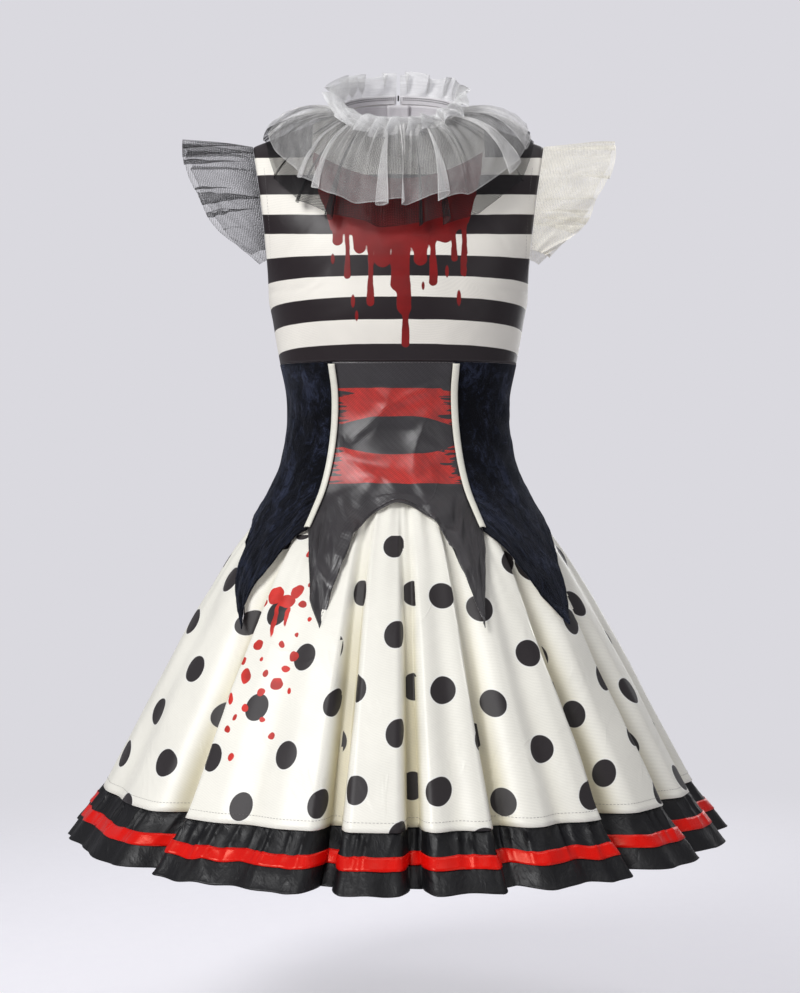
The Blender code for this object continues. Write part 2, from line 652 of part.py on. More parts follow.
def sleeve_grid(path, lengths, phase):
    shares = np.linspace(0, 1, SLEEVE_WAVES * FRILL_STEPS + 1)
    base = along(path, shares)
    radial = base - np.array((0, *SLEEVE_CENTRE))
    radial[:, 0] = 0
    radial /= np.linalg.norm(radial, axis=1, keepdims=True)
    reach = smooth(column(SLEEVE_LENGTHS, 0), lengths, shares)[:, None]
    ripple = np.sin(2 * np.pi * SLEEVE_WAVES * shares + phase)[:, None]
    rows = []
    for v in SLEEVE_STEPS:
        amplitude = SLEEVE_WAVE[0] + (SLEEVE_WAVE[1] - SLEEVE_WAVE[0]) * v
        lift = CLOTH + SLEEVE_FLARE * reach * v + amplitude * ripple
        point = base + radial * lift
        point[:, 0] += (SLEEVE_SEAT + reach * v)[:, 0]
        point[:, 2] -= SLEEVE_DROOP * v * v
        rows.append(point)
    return np.array(rows)


def make_sleeves(grids):
    for name, sign, lengths, finish in (("right", -1, 1, "black_net"), ("left", 1, 2, "cream_net")):
        grid = sleeve_grid(armhole_path(grids, sign), column(SLEEVE_LENGTHS, lengths), SLEEVE_PHASE * sign)
        grid = grid * np.array((sign, 1, 1))
        add_sheet(f"sleeve_{name}", grid if sign > 0 else grid[:, ::-1], NET, finish)


# ---------------------------------------------------------------- back zip

def zip_grid(bodice, panel):
    """The zip's tapes as one strip down the inside of the back, on the two back halves' own points."""
    upper, lower = bodice[:-1, [-1, -2]], panel[:len(PANEL_ROWS), [-1, -2]]
    halves = np.concatenate([upper, lower])
    edge, inside = halves[:, 0], halves[:, 1]
    outer = edge + (inside - edge) * (ZIP_HALF_WIDTH - edge[:, :1]) / (inside[:, :1] - edge[:, :1])
    mirror = np.array((-1, 1, 1))
    return np.stack([outer, edge, edge * mirror, outer * mirror], axis=1)


def box(low, high):
    spans = list(zip(low, high))
    corners = [np.array((x, y, z)) for z in spans[2] for y in spans[1] for x in spans[0]]
    return corners, [(0, 2, 3, 1), (4, 5, 7, 6), (0, 1, 5, 4), (2, 6, 7, 3), (0, 4, 6, 2), (1, 3, 7, 5)]


def rod(radius, half_length, sides=12):
    """A round bar along X, with its axis through the origin."""
    points = []
    for x in (-half_length, half_length):
        for i in range(sides):
            a = 2 * math.pi * i / sides
            points.append(np.array((x, radius * math.cos(a), radius * math.sin(a))))
    faces = [tuple(range(sides))[::-1], tuple(range(sides, 2 * sides))]
    faces += [(i, (i + 1) % sides, (i + 1) % sides + sides, i + sides) for i in range(sides)]
    return points, faces


def add_metal(name, shape, hinge):
    """A metal piece, its shape given from the pull's hinge: X across the zip, Y out of it and Z up it."""
    points, faces = shape
    made = add_object(name, points, faces, "zip_metal")
    made.parent = hinge
    return made


def combine(target, operation, name, shape, hinge):
    tool = add_metal(name, shape, hinge)
    tool.hide_render = True
    tool.display_type = "WIRE"
    change = target.modifiers.new(name, "BOOLEAN")
    change.operation = operation
    change.object = tool
    change.solver = "EXACT"


def make_zip(bodice, panel):
    tape = moved_out(zip_grid(bodice, panel), -2 * SEAM - NET)
    add_sheet("back_zip", tape, NET, "zip_tape")
    middle = moved_out(tape, NET)[::-1, 1:3].mean(axis=1)
    below, seat, above = along(middle, SLIDER_AT + np.array((-1.0, 0.0, 1.0)) * SLOPE_STEP)
    tilt = math.atan2(below[1] - above[1], above[2] - below[2])
    out = np.array((0.0, math.cos(tilt), math.sin(tilt)))
    rise = SEAM + SLIDER_WALL + RUNNING_GAP + EYE_WALL + PIN_RADIUS + RUNNING_GAP

    hinge = bpy.data.objects.new("zip_hinge", None)
    hinge.location = (seat + out * rise) * MM
    hinge.rotation_euler = (tilt, 0, 0)
    bpy.context.scene.collection.objects.link(hinge)

    plate = box(
        (-SLIDER_WIDTH / 2, SEAM - rise, -SLIDER_BELOW),
        (SLIDER_WIDTH / 2, SEAM - rise + SLIDER_WALL, SLIDER_ABOVE),
    )
    slider = add_metal("zip_slider", plate, hinge)
    for side in (-1, 1):
        low, high = sorted((side * LUG_INSIDE, side * (LUG_INSIDE + LUG_WALL)))
        lug = box((low, SEAM - rise + SLIDER_WALL / 2, -LUG_REACH), (high, LUG_REACH, LUG_REACH))
        combine(slider, "UNION", f"lug_{side}", lug, hinge)
    combine(slider, "UNION", "pin", rod(PIN_RADIUS, LUG_INSIDE + LUG_WALL / 2), hinge)

    eye = PIN_RADIUS + RUNNING_GAP
    half = LUG_INSIDE - RUNNING_GAP
    pull = add_metal("zip_pull", rod(eye + EYE_WALL, half), hinge)
    stem = box((-half, -PULL_WALL / 2, -PULL_STEM - 1.0), (half, PULL_WALL / 2, 0))
    combine(pull, "UNION", "stem", stem, hinge)
    tab = box((-PULL_WIDTH / 2, -PULL_WALL / 2, -PULL_LENGTH), (PULL_WIDTH / 2, PULL_WALL / 2, -PULL_STEM))
    combine(pull, "UNION", "tab", tab, hinge)
    combine(pull, "DIFFERENCE", "eye", rod(eye, half + 1.0), hinge)


def main():
    for leftover in list(bpy.data.objects):
        bpy.data.objects.remove(leftover)
    grids = make_bodice()
    panel = make_waist_panels()
    make_piping()
    make_skirt()
    make_band()
    make_collars()
    make_neck_frill()
    make_sleeves(grids)
    make_zip(grids["left"], panel)


main()
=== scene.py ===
"""Clown costume: the cloth, prints, nets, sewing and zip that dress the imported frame, and its stage.

Lengths in the tables are millimetres and angles are degrees. An angle of 0 is the centre front, 90 the
wearer's left side (+X) and 180 the centre back, as in the frame. Sizes and colours that a user would change
are properties of the scene, and each group of pieces is made by an operator of its own.
"""

import itertools
import math

import bpy
import numpy as np
from bpy.props import FloatProperty, FloatVectorProperty, PointerProperty
from bpy.types import Operator, Panel, PropertyGroup
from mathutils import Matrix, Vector


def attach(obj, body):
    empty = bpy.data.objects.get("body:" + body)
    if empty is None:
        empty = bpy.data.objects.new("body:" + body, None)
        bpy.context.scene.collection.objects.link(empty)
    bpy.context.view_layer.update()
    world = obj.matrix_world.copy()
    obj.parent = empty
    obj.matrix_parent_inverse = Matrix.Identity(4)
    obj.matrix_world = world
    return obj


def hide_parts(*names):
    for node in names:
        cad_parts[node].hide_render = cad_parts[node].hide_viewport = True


bl_info = {
    "name": "Clown costume",
    "version": (1, 0, 0),
    "blender": (4, 5, 0),
    "location": "View3D > Sidebar > Costume",
    "description": "Dresses the frame of a clown costume in satin, velvet, net, ribbon and sewing",
    "category": "Object",
}

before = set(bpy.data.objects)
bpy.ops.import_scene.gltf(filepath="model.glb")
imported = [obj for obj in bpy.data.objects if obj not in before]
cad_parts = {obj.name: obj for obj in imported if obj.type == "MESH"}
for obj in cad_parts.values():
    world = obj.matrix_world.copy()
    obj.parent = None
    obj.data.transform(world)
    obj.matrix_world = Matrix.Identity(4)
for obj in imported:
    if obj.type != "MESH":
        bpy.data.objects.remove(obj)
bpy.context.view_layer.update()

MM = 0.001
MIRRORED = np.array((-1, 1, 1))
SEAM, EASE = 0.3, 0.6
CLOTH, VELVET, NET = 1.5, 2.0, 1.0      # walls of the frame's solids
PANEL_ROWS = (-247.3, -278.0, -308.0, -340.0, -368.0, -392.0)
POINT_ROWS = 4
SKIRT_TOP, HEM, RUFFLE_DROP = -386.0, -721.0, 52.0
MEET = 0.05          # gap between two sheets that are sewn edge to edge

FORM = (            # height, half width, front depth, back depth, squareness
    (-773, 377, 367, 369, 2),
    (-721, 337, 320, 322, 2),
    (-690, 320, 302, 304, 2),
    (-645, 296, 277, 279, 2),
    (-598, 271, 250, 251, 2),
    (-552, 247, 225, 225, 2),
    (-506, 222, 197, 197, 2),
    (-460, 193.5, 165.5, 165.5, 2),
    (-420, 164, 132, 131, 2),
    (-394, 148.5, 111, 107, 2.05),
    (-370, 136.5, 99, 93, 2.1),
    (-340, 129, 90, 82, 2.1),
    (-308, 125, 86, 76, 2.15),
    (-270, 128, 90, 78, 2.2),
    (-247, 133, 96, 82, 2.3),
    (-200, 141, 109, 89, 2.3),
    (-172, 146, 110, 93, 2.3),
)
ARMHOLE = (         # height, half width, edge depth and centre depth in front, the same behind
    (-172, 146, 0, 110, 0, 93),
    (-162, 145.5, 27, 109.5, 25, 93.5),
    (-145, 145.5, 41, 108.5, 38, 94.5),
    (-120, 147, 51.5, 106, 48, 96),
    (-92, 149.5, 55, 100, 51, 95),
)
BODICE_SQUARENESS = 2.3
BODICE_COLUMNS, BODICE_FRONT_ROWS, BODICE_BACK_ROWS = 65, 108, 96     # columns from the centre to a side
BODICE_LOW_ROWS = (-247.0, -223.0, -198.0)
CHEST_PULL, TOP_PULL = 0.85, 0.6
NECK_CLIMB = (0.55, 0.83)
BODICE_TOP_STEPS = (0.25, 0.5, 0.75, 0.93, 1.0)
SHOULDER_POINT = (165.0, 0.0, 0.0)
NECK_SHARE = 0.5
NECK_HALF_WIDTH, NECK_HALF_DEPTH, NECK_BACKSET = 65.0, 62.0, 2.0
NECK_HEIGHT, NECK_SLOPE = 38.0, 0.37
NECK_AXIS = np.array((0.0, -NECK_SLOPE, 1.0)) / math.hypot(1.0, NECK_SLOPE)
BAND_HEIGHT, BAND_WALL = 10.0, 2.0
BAND_SEAT = ((0.0, 0.80), (55.0, 0.95), (70.0, 1.70), (90.0, 1.80), (113.0, 0.45), (180.0, 0.12))
PIPING_SEAMS = (    # height, angle of the right seam, angle of the left seam
    (-247, -40.5, 35.5),
    (-320, -43, 39),
    (-382, -42, 38.5),
    (-432, -40, 37),
)
PIPING_VISIBLE, PIPING_END = 6.0, -431.0
PIPING_LIFT = EASE + VELVET + 2 * SEAM

SATIN_HEM = (       # share of the width, angle and height of the cut edge
    (0, -39.9, -432), (0.055, -36, -446), (0.11, -31.5, -473), (0.165, -27.5, -504),
    (0.22, -22.7, -530), (0.27, -21, -490), (0.32, -19.3, -450), (0.375, -14.5, -419),
    (0.45, -6.5, -407), (0.53, 2, -404), (0.61, 10, -409), (0.68, 18, -427), (0.74, 21.5, -455),
    (0.79, 23.4, -493), (0.84, 24.6, -532), (0.89, 28.3, -492), (0.94, 32.8, -459),
    (1, 36.9, -433),
)
VELVET_RIGHT_HEM = (
    (0, -89.9, -420), (0.15, -76, -431), (0.3, -67, -455), (0.44, -59.5, -492), (0.57, -47, -537),
    (0.68, -50.5, -507), (0.8, -48.3, -474), (0.9, -44, -440), (1, -40.5, -432),
)
VELVET_LEFT_HEM = (
    (0, 37.5, -433), (0.12, 43, -454), (0.24, 46, -484), (0.35, 49.5, -512), (0.45, 53.5, -534),
    (0.56, 58.5, -507), (0.7, 64, -475), (0.85, 75, -440), (1, 89.9, -420),
)
VELVET_BACK_HEM = (
    (0, 90.1, -420), (0.13, 103, -437), (0.25, 114, -464), (0.36, 122, -500), (0.46, 128.5, -535),
    (0.56, 133.5, -500), (0.67, 141, -462), (0.8, 153, -429), (0.9, 165, -412), (1, 178.3, -406),
)

SKIRT_FOLDS = (     # angle of the trough, reach of its left flank, of its right flank, depth at the hem
    (-163, 6, 4, 12), (-147, 7, 3, 17), (-127, 7, 7, 7), (-108, 7, 4, 16), (-87, 7, 7, 9),
    (-67, 8, 8, 4), (-43, 8, 3, 18), (-27, 7, 7, 5), (-11.6, 3.4, 3.4, 22), (2.8, 3, 3.2, 20),
    (10.5, 4, 4, 5), (18, 2.4, 6.5, 16), (30, 4.5, 5, 6), (40.5, 2.8, 8, 20), (59.5, 3, 8, 14),
    (79, 7, 7, 9), (98, 7, 6, 12), (117, 4, 7, 16), (134.5, 6, 6, 7), (151, 3, 7, 17),
    (170, 6, 5, 13),
)
WIDEST_COLUMN, NARROWEST_COLUMN = 4.6, 1.2
FOLD_RISE, FOLD_GROWTH = 0.85, 0.1
WAIST_GATHER, GATHER_REACH = 3.2, 0.45
TUCK = ((0.0, 3.0), (154.0, 1.4), (214.0, 0.0))
HEM_GATHER = 1.6     # depth of the frame's gathers along the hem seam

NECK_FRILL_END, BAND_END = 174.5, 178.0
COLLARS = (         # name, height on the band, reach at the side, front and back, height at the side, drop
                    # at the front and back, squareness of the drop, bulge
    ("collar_net_black", 2.8, 154.0, 117.0, 116.0, 17.0, 106.0, 62.0, 1.2, 9.0),
    ("collar_organza_white", 5.6, 149.0, 121.0, 119.0, 23.0, 80.0, 40.0, 1.15, 13.0),
)
COLLAR_SQUARENESS = 2.5
NECK_FRILL_STEPS = (0.0, 0.3, 0.65, 1.0)
NECK_FRILL_WIDTH, NECK_FRILL_LEAN = (36.0, 25.0), (142.0, 7.0)
NECK_FRILL_TURN = 1.2

SLEEVE_START, SLEEVE_SEAT = -132.0, 1.2
SLEEVE_CENTRE, SLEEVE_FLARE, SLEEVE_DROOP = (0.0, -85.0), 0.11, 5.0
SLEEVE_LENGTHS = (   # share of the way round the armhole, length of the right sleeve, of the left sleeve
    (0, 15, 16), (0.05, 35, 34), (0.11, 54, 56), (0.2, 66, 66), (0.32, 78, 81), (0.5, 80, 81),
    (0.68, 76, 79), (0.8, 64, 66), (0.9, 44, 46), (1, 14, 16),
)
ZIP_GAP, ZIP_HALF_WIDTH = 4.0, 13.0

STRIPES = (0.0, -21.0, -42.3, -65.5, -88.0, -109.6, -132.3, -155.0, -177.6, -202.0, -228.0)
STRIPES_END, STRIPE_WOBBLE = -300.0, 1.2
SHOULDER_STRIPE = 96.35     # the topmost stripe runs from here to the shoulder
STRIPE_SAG = (      # height, how far a stripe drops at the side edge
    (-250, 11), (-178, 11), (-155, 1.5), (-132, -1.5), (-109, -6), (60, -6),
)
PRINT_EDGE = 0.35          # half the softness of a printed edge
BIB_LEVEL, BIB_BOW = -124.0, 0.0048     # where the bib's mass ends at the centre, and how it bows up
BIB_FLARE, BIB_HALF_WIDTH = (-120.0, -20.0), (74.0, 94.0)     # it widens upwards between two heights
NECKLINE, NECKLINE_BOW = -47.0, 0.0037
BIB_RAG, DRIP_BLEND = 9.0, 9.0
PAINTED_BANDS = ((-276.0, -307.0), (-350.0, -382.5))     # top and bottom of the two bands across the waist
PAINT_BOW, PAINT_EDGE = 11.0, 0.3

DRIPS = (           # across the chest, half width, lowest point
    (-76, 4, -104), (-66, 5.5, -122), (-55, 3.4, -158), (-42, 6.5, -131), (-30, 4.2, -188),
    (-17, 8, -146), (-2, 6, -171), (6, 7.5, -196), (8, 4.4, -232), (24, 7, -144), (38, 4.6, -166),
    (51, 6, -119), (61, 3.2, -139), (72, 4.2, -155),
)
DROPS = (           # across the chest, height, half width, half height
    (-49, -182, 2.2, 7), (-45, -198, 1.7, 5.5), (66, -178, 2.4, 8.5), (53, -150, 2, 6.5),
    (-71, -136, 2, 5.5), (27, -166, 1.7, 4.5),
)
SPLASHES = (        # across the front panel, down the skirt, half width, half height
    (-8, 141, 9.5, 11), (7, 147, 11, 8), (17, 136, 6, 8), (-1, 168, 3.2, 22), (12, 165, 2.4, 12),
    (-22, 150, 5.4, 5.6), (27, 151, 4.4, 4.6), (34, 96, 4, 4.2), (20, 86, 5.6, 5.4),
    (39, 118, 3, 4.6), (44, 152, 3.8, 4.2), (-29, 188, 4.4, 7.5), (-14, 201, 5.4, 6),
    (14, 199, 3.6, 4), (29, 187, 2.4, 3), (-21, 236, 6.2, 9), (3, 232, 3.8, 4.2),
    (17, 243, 6.4, 6.2), (34, 250, 3, 3.4), (-34, 262, 3.2, 6), (-13, 272, 4.2, 4.6),
    (9, 283, 2.8, 3.2), (-31, 296, 3.6, 4.8), (22, 303, 3.4, 3.6), (-20, 326, 2.8, 3.8),
    (31, 212, 5.2, 5), (-6, 216, 2.2, 2.6), (-28, 219, 3.4, 4.8), (24, 226, 5, 4.8),
    (-39, 205, 4.2, 5), (2, 252, 4.6, 4.8), (-24, 284, 2.4, 2.8), (41, 168, 2.6, 3),
    (28, 128, 2.4, 3.2),
)
SPLASH_SCALE = 1.12
SHADED_FOLD, FOLD_SHADE = (3.5, 21.0), (0.70, 0.66, 0.53)     # painted shade in the folds: cloth painted dimmer and warmer this far in
DOT_PANELS = (      # first angle at 137 and 355 down the skirt, angle of a column of dots there, where a
                    # dot lies on it, stretch across, tilt
    (-90, -90, -62.7, -51.7, 231.7, 1.2, -0.03),
    (-43, -43, -35.3, -30.1, 162, 0.88, -0.07),
    (-15.5, -11.4, -0.8, 0.2, 186.3, 0.87, -0.12),
    (1.8, 1.8, 4.9, 2.9, 246.6, 1, 0),
    (5, 4, 12.6, 7.4, 248.3, 1, -0.01),
    (17.8, 17.8, 23.4, 19.5, 263.9, 1.03, -0.03),
    (42.5, 41, 57.5, 35.7, 282.3, 0.92, 0.23),
    (62, 59.2, 62.7, 70.2, 261.6, 1, -0.09),
    (90, 90, 180, 180, 205, 1, 0),
)
DOT_STRETCH = 1.08
DOT_LINES = (137.0, 218.0)     # where the first of those angles holds, and how far below it the second does
PLAIN_TOP, BETWEEN_DOTS = 56.0, (0.0, 50.0)     # no dot is seen nearer to the waist than this
NO_SPLASH, SPLASH_PANEL = -500.0, 1
RING, RING_COLOUR = 1.25, (0.93, 0.93, 0.90)     # pale rim round a dot


# ---------------------------------------------------------------- properties

def paint(red, green, blue):
    """Linear colour of 8-bit screen values."""
    return tuple(((v / 255 + 0.055) / 1.055) ** 2.4 if v > 10 else v / 255 / 12.92 for v in (red, green, blue))


def colour(name, description, red, green, blue):
    return FloatVectorProperty(
        name=name, description=description, default=paint(red, green, blue), subtype="COLOR", min=0, max=1)


def length(name, description, default):
    return FloatProperty(name=name, description=description, default=default * MM, unit="LENGTH", min=0,
                         precision=4)


class CostumeColours(PropertyGroup):
    """Colours of the cloth, prints and threads."""

    cream: colour("Cream stripe", "Pale stripe of the bodice", 250, 246, 236)
    stripe: colour("Dark stripe", "Dark stripe of the bodice", 36, 28, 31)
    bib: colour("Bib red", "Dripping print on the chest", 128, 14, 14)
    satin: colour("Black satin", "Front waist panel", 46, 43, 46)
    bands: colour("Band red", "Painted bands across the waist", 176, 38, 30)
    velvet: colour("Velvet", "Crushed velvet of the side and back panels", 6, 7, 13)
    # painted sheen: a lighter colour painted on the crushed pile's own patches, where it would catch the light
    velvet_painted_sheen: colour("Velvet light", "Crushed velvet where its pile leans to the light", 44, 50, 70)
    piping: colour("Piping", "Flat piping on the front seams", 240, 238, 224)
    skirt: colour("Skirt", "Cream satin of the skirt", 252, 250, 239)
    dots: colour("Dots", "Printed dots of the skirt", 42, 37, 39)
    splash: colour("Splash red", "Printed splashes on the skirt", 206, 40, 30)
    ruffle: colour("Ruffle", "Black satin of the hem ruffle", 9, 9, 13)
    ribbon: colour("Ribbon", "Satin ribbon round the hem", 228, 14, 8)
    organza: colour("Organza", "Upper collar layer", 240, 239, 238)
    frill: colour("Frill", "Standing frill round the neck", 244, 244, 244)
    black_net: colour("Black net", "Under collar and right sleeve", 12, 11, 14)
    cream_net: colour("Cream net", "Left sleeve", 253, 249, 236)
    tape: colour("Tape", "Neck band, lining and zip tape", 226, 223, 226)
    metal: colour("Metal", "Zip slider and pull", 150, 150, 154)
    dark_thread: colour("Dark thread", "Sewing of the neck band and the satin's edge", 30, 28, 30)
    grey_thread: colour("Grey thread", "Sewing of the armholes, waist seam and hem", 120, 116, 116)
    backdrop: colour("Backdrop", "Floor and surroundings", 218, 217, 223)


class CostumeSizes(PropertyGroup):
    """Sizes of the weave, print and sewing."""

    dot_width: length("Dot width", "Width of a printed dot", 28.5)
    dot_spacing: length("Dot spacing", "Distance between two columns of dots", 50.0)
    net_hole: length("Net hole", "Width of a hole in the net", 1.7)
    stitch: length("Stitch", "Length of a stitch", 2.6)
    stitch_gap: length("Stitch gap", "Gap between two stitches", 1.2)
    thread: length("Thread", "Thickness of the sewing thread", 0.55)
    teeth: length("Zip teeth", "Distance between two teeth of the zip", 1.8)
    floor_drop: length("Floor", "Height of the floor below the shoulders", 1050.0)


# ---------------------------------------------------------------- curves and the form

def column(table, index):
    return [row[index] for row in table]


def smooth(knots, values, at):
    """A smooth curve through a table's knots, read at every value of at."""
    knots, values, at = (np.asarray(x, float) for x in (knots, values, at))
    slopes = np.gradient(values, knots, axis=0)
    i = np.clip(np.searchsorted(knots, at) - 1, 0, len(knots) - 2)
    span = knots[i + 1] - knots[i]
    f = (at - knots[i]) / span
    if values.ndim > 1:
        span, f = (x.reshape((-1,) + (1,) * (values.ndim - 1)) for x in (span, f))
    return (
        values[i] * (1 + 2 * f) * (1 - f) ** 2
        + slopes[i] * span * f * (1 - f) ** 2
        + values[i + 1] * f * f * (3 - 2 * f)
        + slopes[i + 1] * span * f * f * (f - 1)
    )


def finer(grid, count, corners=(), axis=0):
    """A grid with about that many rows, on smooth curves through its own rows; corners stay sharp."""
    grid = np.moveaxis(grid, axis, 0)
    steps = np.linalg.norm(np.diff(grid, axis=0), axis=-1)
    knots = np.append(0, np.cumsum(steps.mean(axis=tuple(range(1, steps.ndim)))))
    parts = []
    ends = [0, *corners, len(grid) - 1]
    for a, b in zip(ends, ends[1:]):
        share = (knots[b] - knots[a]) / knots[-1]
        at = np.linspace(knots[a], knots[b], max(2, round(count * share)) + 1)
        parts.append(smooth(knots[a:b + 1], grid[a:b + 1], at)[1 if parts else 0:])
    return np.moveaxis(np.concatenate(parts), 0, axis)


def ring_radius(angle, half_width, depth, squareness):
    """Distance from the axis to a rounded outline, at an angle in radians."""
    across = (np.abs(np.sin(angle)) / half_width) ** squareness
    along_axis = (np.abs(np.cos(angle)) / depth) ** squareness
    return (across + along_axis) ** (-1.0 / squareness)


def form_point(degrees, height, out=0.0):
    """Point of the body form at an angle and a height, moved out by some millimetres."""
    degrees, height = np.broadcast_arrays(np.asarray(degrees, float), np.asarray(height, float))
    angle = np.radians(degrees)
    heights = column(FORM, 0)
    flat = height.ravel()
    sizes = [smooth(heights, column(FORM, i), flat).reshape(height.shape) for i in (1, 2, 3, 4)]
    depth = np.where(np.cos(angle) > 0, sizes[1], sizes[2])
    radius = ring_radius(angle, sizes[0], depth, sizes[3]) + out
    return np.stack([radius * np.sin(angle), -radius * np.cos(angle), height], axis=-1)


def over_form(degrees, height, out):
    """Points at some millimetres straight out from the form."""
    down = form_point(degrees, height - 1.0) - form_point(degrees, height + 1.0)
    across = form_point(degrees + 1.0, height) - form_point(degrees - 1.0, height)
    return form_point(degrees, height) + unit(np.cross(down, across)) * out


def unit(vectors):
    return vectors / np.linalg.norm(vectors, axis=-1, keepdims=True)


def hermite(start, start_pull, end, end_pull, t):
    return (
        start * (1 + 2 * t) * (1 - t) ** 2
        + start_pull * t * (1 - t) ** 2
        + end * t * t * (3 - 2 * t)
        + end_pull * t * t * (t - 1)
    )


def grid_normals(points):
    normals = np.cross(np.gradient(points, axis=0), np.gradient(points, axis=1))
    return normals / np.maximum(np.linalg.norm(normals, axis=-1, keepdims=True), 1e-9)


def moved_out(points, distance):
    """A grid moved along its own normals; distance is a number or one for each point."""
    return points + grid_normals(points) * np.broadcast_to(distance, points.shape[:2])[..., None]


def lengths_along(points, axis):
    """Length from the first row or column of a grid, or the start of a path, to each of its points."""
    steps = np.linalg.norm(np.diff(points, axis=axis), axis=-1)
    start = np.zeros_like(np.take(steps, [0], axis))
    return np.concatenate([start, np.cumsum(steps, axis=axis)], axis=axis)


def at_lengths(path, run, at):
    """Points of a path at some lengths; run is its length at each of its own points."""
    return np.stack([np.interp(at, run, path[:, i]) for i in range(3)], axis=-1)


def arch(count):
    """Rises from 0 to 1 and falls back over that many places."""
    return np.sin(np.pi * np.linspace(0, 1, count))


def wrapped(degrees):
    """Angles brought within half a turn of the front."""
    return (degrees + 180.0) % 360.0 - 180.0


def cloth_map(points):
    """Flat position of each point of a grid: across from its middle column, and down from its first row."""
    across = lengths_along(points, 1)
    middle = points.shape[1] // 2
    return np.stack([across - across[:, middle:middle + 1], -lengths_along(points, 0)], axis=-1)


RUMPLE_WAVES = 7
SEWN_DIP, SEWN_WIDTH = 0.6, 1.6


def rumple(flat, size, seed, height=1.0, drawn=1.0):
    """Soft uneven rises and hollows of about that size and height; a small drawn makes them longer."""
    chance = np.random.default_rng(seed)
    across, down = flat[..., 0], flat[..., 1] * drawn
    total = np.zeros(across.shape)
    for _ in range(RUMPLE_WAVES):
        turn, wave = chance.uniform(0, np.pi), size * chance.uniform(0.7, 1.8)
        phase = chance.uniform(0, 2 * np.pi, 2)
        line = across * np.cos(turn) + down * np.sin(turn)
        side = down * np.cos(turn) - across * np.sin(turn)
        bend = 0.9 * np.sin(2 * np.pi * side / wave / 2.3 + phase[1])
        total += np.sin(2 * np.pi * line / wave + phase[0] + bend)
    return height * (total / (RUMPLE_WAVES / 2))


def dented(flat, size, seed, height=1.0, drawn=1.0):
    """Shallow dents with a narrow ridge between them."""
    return height * (1 - 2 * np.sqrt(rumple(flat, size, seed, drawn=drawn) ** 2 + 0.0016))


def sewn_in(flat):
    """How far a sheet dips at its two sewn sides."""
    across = flat[..., 0]
    from_side = np.minimum(across - across[:, :1], across[:, -1:] - across)
    return -SEWN_DIP * np.exp(-(from_side / SEWN_WIDTH) ** 2)


def creases(flat, table):
    """Soft troughs and ridges along lines: two ends in flat millimetres, width, height."""
    height = np.zeros(flat.shape[:2])
    for u0, v0, u1, v1, width, rise in table:
        start, line = np.array((u0, v0)), np.array((u1 - u0, v1 - v0))
        t = np.clip((flat - start) @ line / (line @ line), 0, 1)
        away = np.linalg.norm(flat - start - t[..., None] * line, axis=-1)
        fade = 1 - (2 * t - 1) ** 4
        height += rise * np.exp(-(away / width) ** 2) * (0.25 + 0.75 * fade)
    return height


# ---------------------------------------------------------------- nodes

